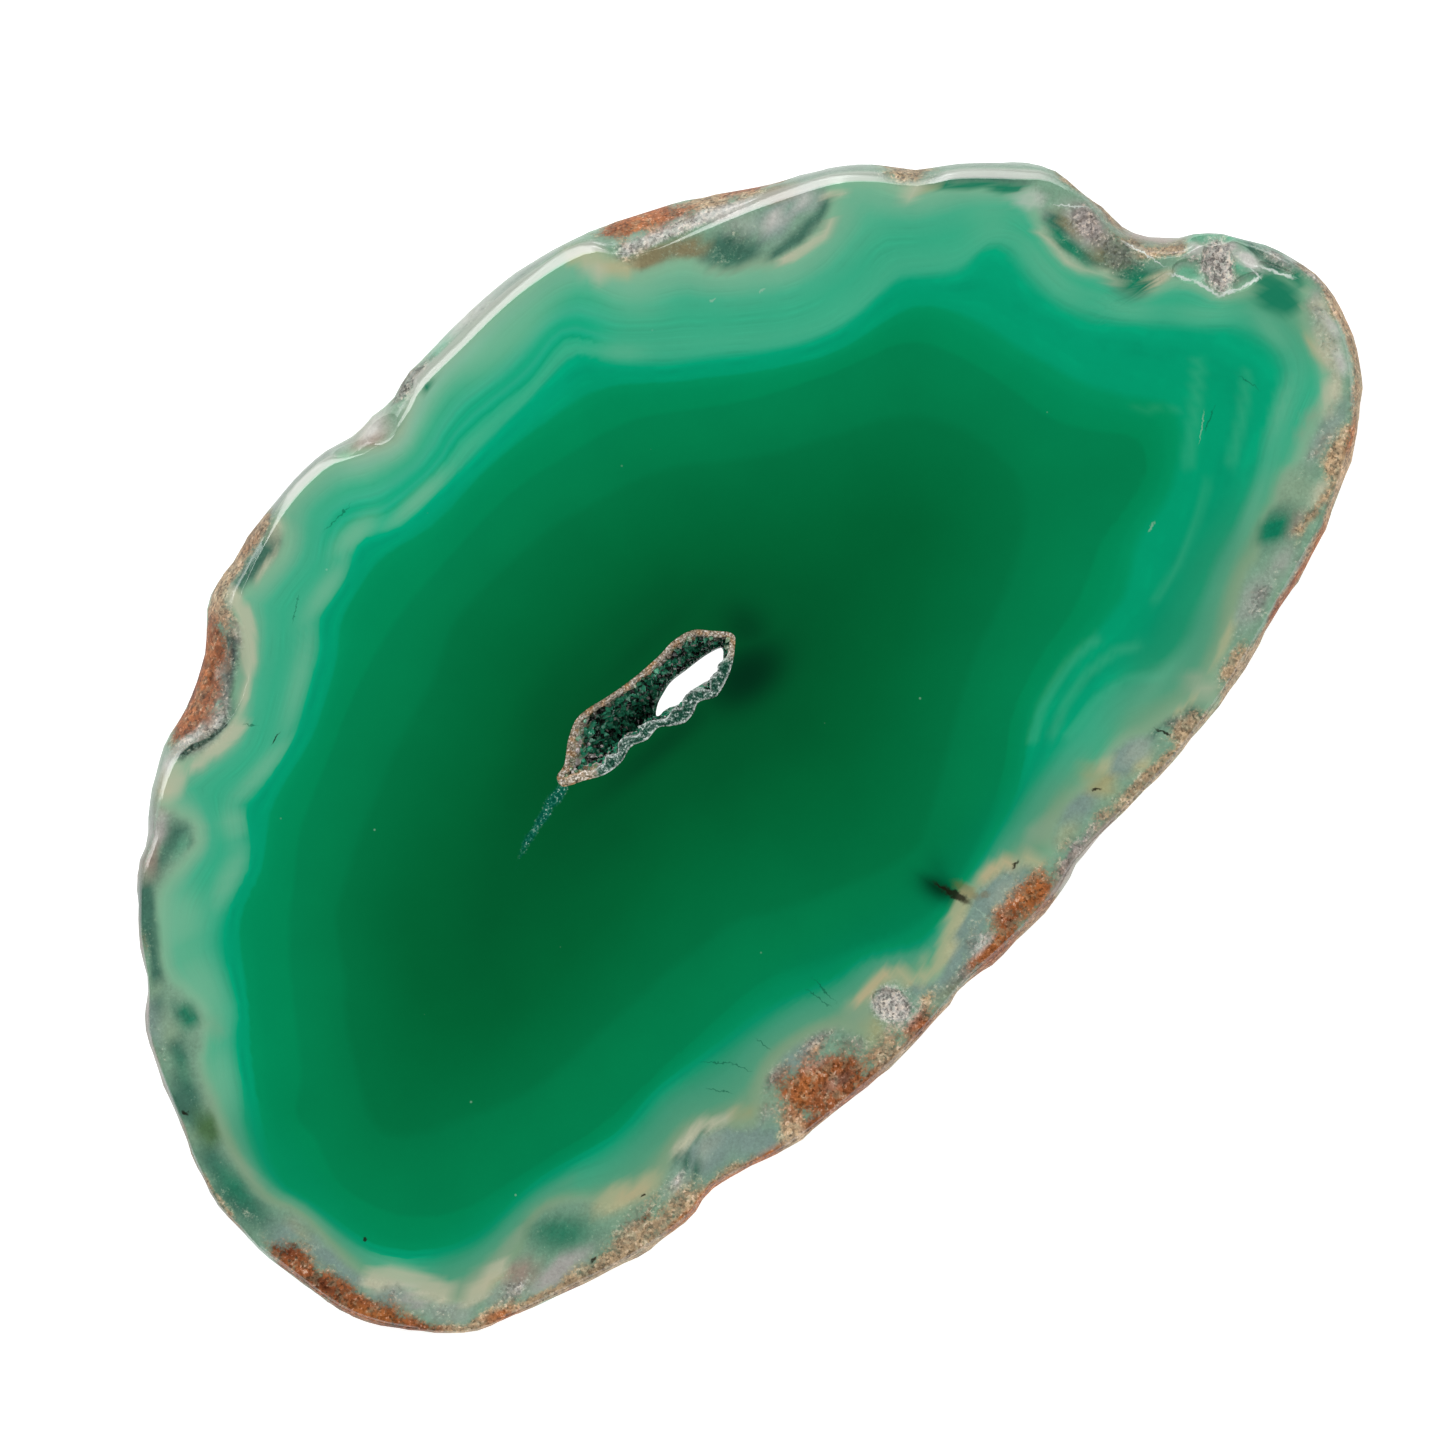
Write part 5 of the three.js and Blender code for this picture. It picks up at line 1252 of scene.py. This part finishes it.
def crystal_form():
    """One quartz point of unit size on its root: its points and faces."""
    angles = np.arange(CRYSTAL_SIDES) * 2 * math.pi / CRYSTAL_SIDES
    ring = np.column_stack([np.cos(angles), np.sin(angles)])
    points = np.vstack([
        np.column_stack([ring, np.full(CRYSTAL_SIDES, -1.0)]),
        np.column_stack([ring, np.full(CRYSTAL_SIDES, 0.55)]),
        [[0.0, 0.0, 1.75]],
    ])
    tip = 2 * CRYSTAL_SIDES
    faces = []
    for i in range(CRYSTAL_SIDES):
        j = (i + 1) % CRYSTAL_SIDES
        faces.append((i, j, CRYSTAL_SIDES + j, CRYSTAL_SIDES + i))
        faces.append((CRYSTAL_SIDES + i, CRYSTAL_SIDES + j, tip))
    faces.append(tuple(range(CRYSTAL_SIDES))[::-1])
    return points, faces


def druse_crystals():
    """The quartz points of the hollow, joined in one mesh: copies of one form, each with its own
    size, lean and tone, on the sloping inner wall of the crust."""
    chance = np.random.default_rng(11)
    form, form_faces = crystal_form()
    mouth = smooth_outline(MOUTH, CRYSTAL_PLACES)
    opening = smooth_outline(OPENING, CRYSTAL_PLACES)
    mouth_out = outward(mouth, 8)
    width, glassy = druse_rim(mouth)
    points, faces, rims, tones = [], [], [], []
    for _ in range(CRYSTALS):
        around = chance.integers(CRYSTAL_PLACES)
        rise = 1 - chance.uniform(0, 1) ** 0.8 * 0.94
        inward = -mouth_out[around]
        top = mouth[around] + width[around] * inward
        foot = opening[around]
        flat = foot + rise * (top - foot)
        radius = chance.uniform(0.11, 0.30) * (0.8 + 0.2 * rise) * (1 - 0.35 * glassy[around])
        height = 0.1 + (THICKNESS - 0.45) * rise
        drop = THICKNESS / max(np.hypot(*(top - foot)), 0.3)
        way = np.array([inward[0] * min(drop, 2.0), inward[1] * min(drop, 2.0), 1.0])
        way = way / np.linalg.norm(way) + chance.normal(0, 0.42, 3)
        turn = Vector((0, 0, 1)).rotation_difference(Vector(way)).to_matrix()
        spin = Matrix.Rotation(chance.uniform(0, math.pi / 3), 3, "Z")
        shape = np.array((turn @ spin).transposed())
        stretch = np.array([1, 1, chance.uniform(0.8, 1.5)])
        place = (form * radius * stretch) @ shape + [flat[0], flat[1], height]
        too_high = place[:, 2].max() > THICKNESS - 0.05 or place[:, 2].min() < 0.03
        if too_high or inside(opening, place).any():
            continue
        faces += [tuple(len(points) * len(form) + i for i in face) for face in form_faces]
        points.append(place)
        rims += [max(0.0, rise - 0.93) * 9 * (1 - glassy[around])] * len(form)
        tones += [druse_tone(place.mean(axis=0)[None], chance)[0]] * len(form)
    mesh = bpy.data.meshes.new("druse_points")
    mesh.from_pydata((np.vstack(points) * MM).tolist(), [], faces)
    piece = bpy.data.objects.new("druse_points", mesh)
    bpy.context.scene.collection.objects.link(piece)
    write_field(piece, "rim", np.clip(rims, 0, 1))
    write_field(piece, "tone", tones)
    return piece


def shade_smooth(piece, degrees):
    """Smooth shading, but for the folds that are sharper than a number of degrees."""
    only_select(piece)
    bpy.ops.object.shade_smooth_by_angle(angle=math.radians(degrees))


def build_slab():
    slab = shape_slab()
    break_chips(slab)
    mark_stone(slab)
    shade_smooth(slab, SLAB_SHARP)
    slab.data.materials.append(polished_agate())
    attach(slab, "root")
    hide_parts("agate_slice")


def build_druse():
    material = quartz_druse()
    wall = druse_wall()
    for piece in (wall, druse_crystals()):
        piece.data.materials.append(material)
        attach(piece, "root")
        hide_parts("crystal_crust")
    shade_smooth(wall, CRUST_SHARP)


def build_stage():
    """A plain white table, with a small lit pad under the hollow, so that the way through the
    stone is white."""
    white, node = new_material("white_table")
    node("OutputMaterial", node("BsdfPrincipled", named={
        "Base Color": "#cfcfce", "Roughness": 0.8, "Emission Color": (1, 1, 1, 1),
        "Emission Strength": 0.75}))
    lit, node = new_material("light_pad")
    node("OutputMaterial", node("Emission", (1, 1, 1, 1), 1.1))
    for name, material, place, size in (("table_top", white, (0, 0, -0.02 * MM), (3, 3)),
                                        ("light_pad", lit, (-2 * MM, 0, -0.01 * MM), (24 * MM, 10 * MM))):
        bpy.ops.object.select_all(action="DESELECT")
        bpy.ops.mesh.primitive_plane_add(size=1, location=place)
        piece = bpy.context.active_object
        piece.name = name
        piece.scale = (*size, 1)
        bpy.ops.object.transform_apply(location=False, rotation=False, scale=True)
        piece.data.materials.append(material)


def soft_light(name, place, size, watts):
    """A rectangular studio light that faces the slice. Places and sizes are in metres."""
    lamp = bpy.data.lights.new(name, "AREA")
    lamp.shape = "RECTANGLE"
    lamp.size, lamp.size_y = size
    lamp.energy = watts
    piece = bpy.data.objects.new(name, lamp)
    piece.location = place
    piece.rotation_euler = (-Vector(place)).to_track_quat("-Z", "Y").to_euler()
    bpy.context.scene.collection.objects.link(piece)


def build_lights():
    soft_light("window_light", (0, 0.95, 0.72), (1.5, 0.42), 12.5)
    soft_light("window_side", (0.82, 0.58, 0.72), (0.8, 0.42), 4)
    soft_light("fill_right", (0.95, -0.45, 0.75), (0.7, 0.7), 3.8)
    soft_light("fill_left", (-0.95, -0.35, 0.75), (0.7, 0.7), 4.2)
    soft_light("fill_front", (0, -1.05, 0.7), (1, 0.5), 3.8)
    world = bpy.data.worlds.new("studio")
    world.use_nodes = True
    background = world.node_tree.nodes["Background"]
    background.inputs["Color"].default_value = (1, 1, 1, 1)
    background.inputs["Strength"].default_value = 0.02
    scene = bpy.context.scene
    scene.world = world
    scene.view_settings.view_transform = "Standard"
    scene.view_settings.look = "None"


def build_camera():
    camera = bpy.data.cameras.new("photo_camera")
    camera.lens = LENS_MM
    camera.sensor_width = SENSOR_MM
    piece = bpy.data.objects.new("photo_camera", camera)
    distance = PHOTO_MM * LENS_MM / SENSOR_MM
    piece.location = Vector((*PHOTO_CENTRE, THICKNESS + distance)) * MM
    piece.rotation_euler = (0, 0, -math.radians(PHOTO_TURN))
    camera.clip_end = 10
    bpy.context.scene.collection.objects.link(piece)
    bpy.context.scene.camera = piece


build_camera()
build_slab()
build_druse()
build_stage()
build_lights()
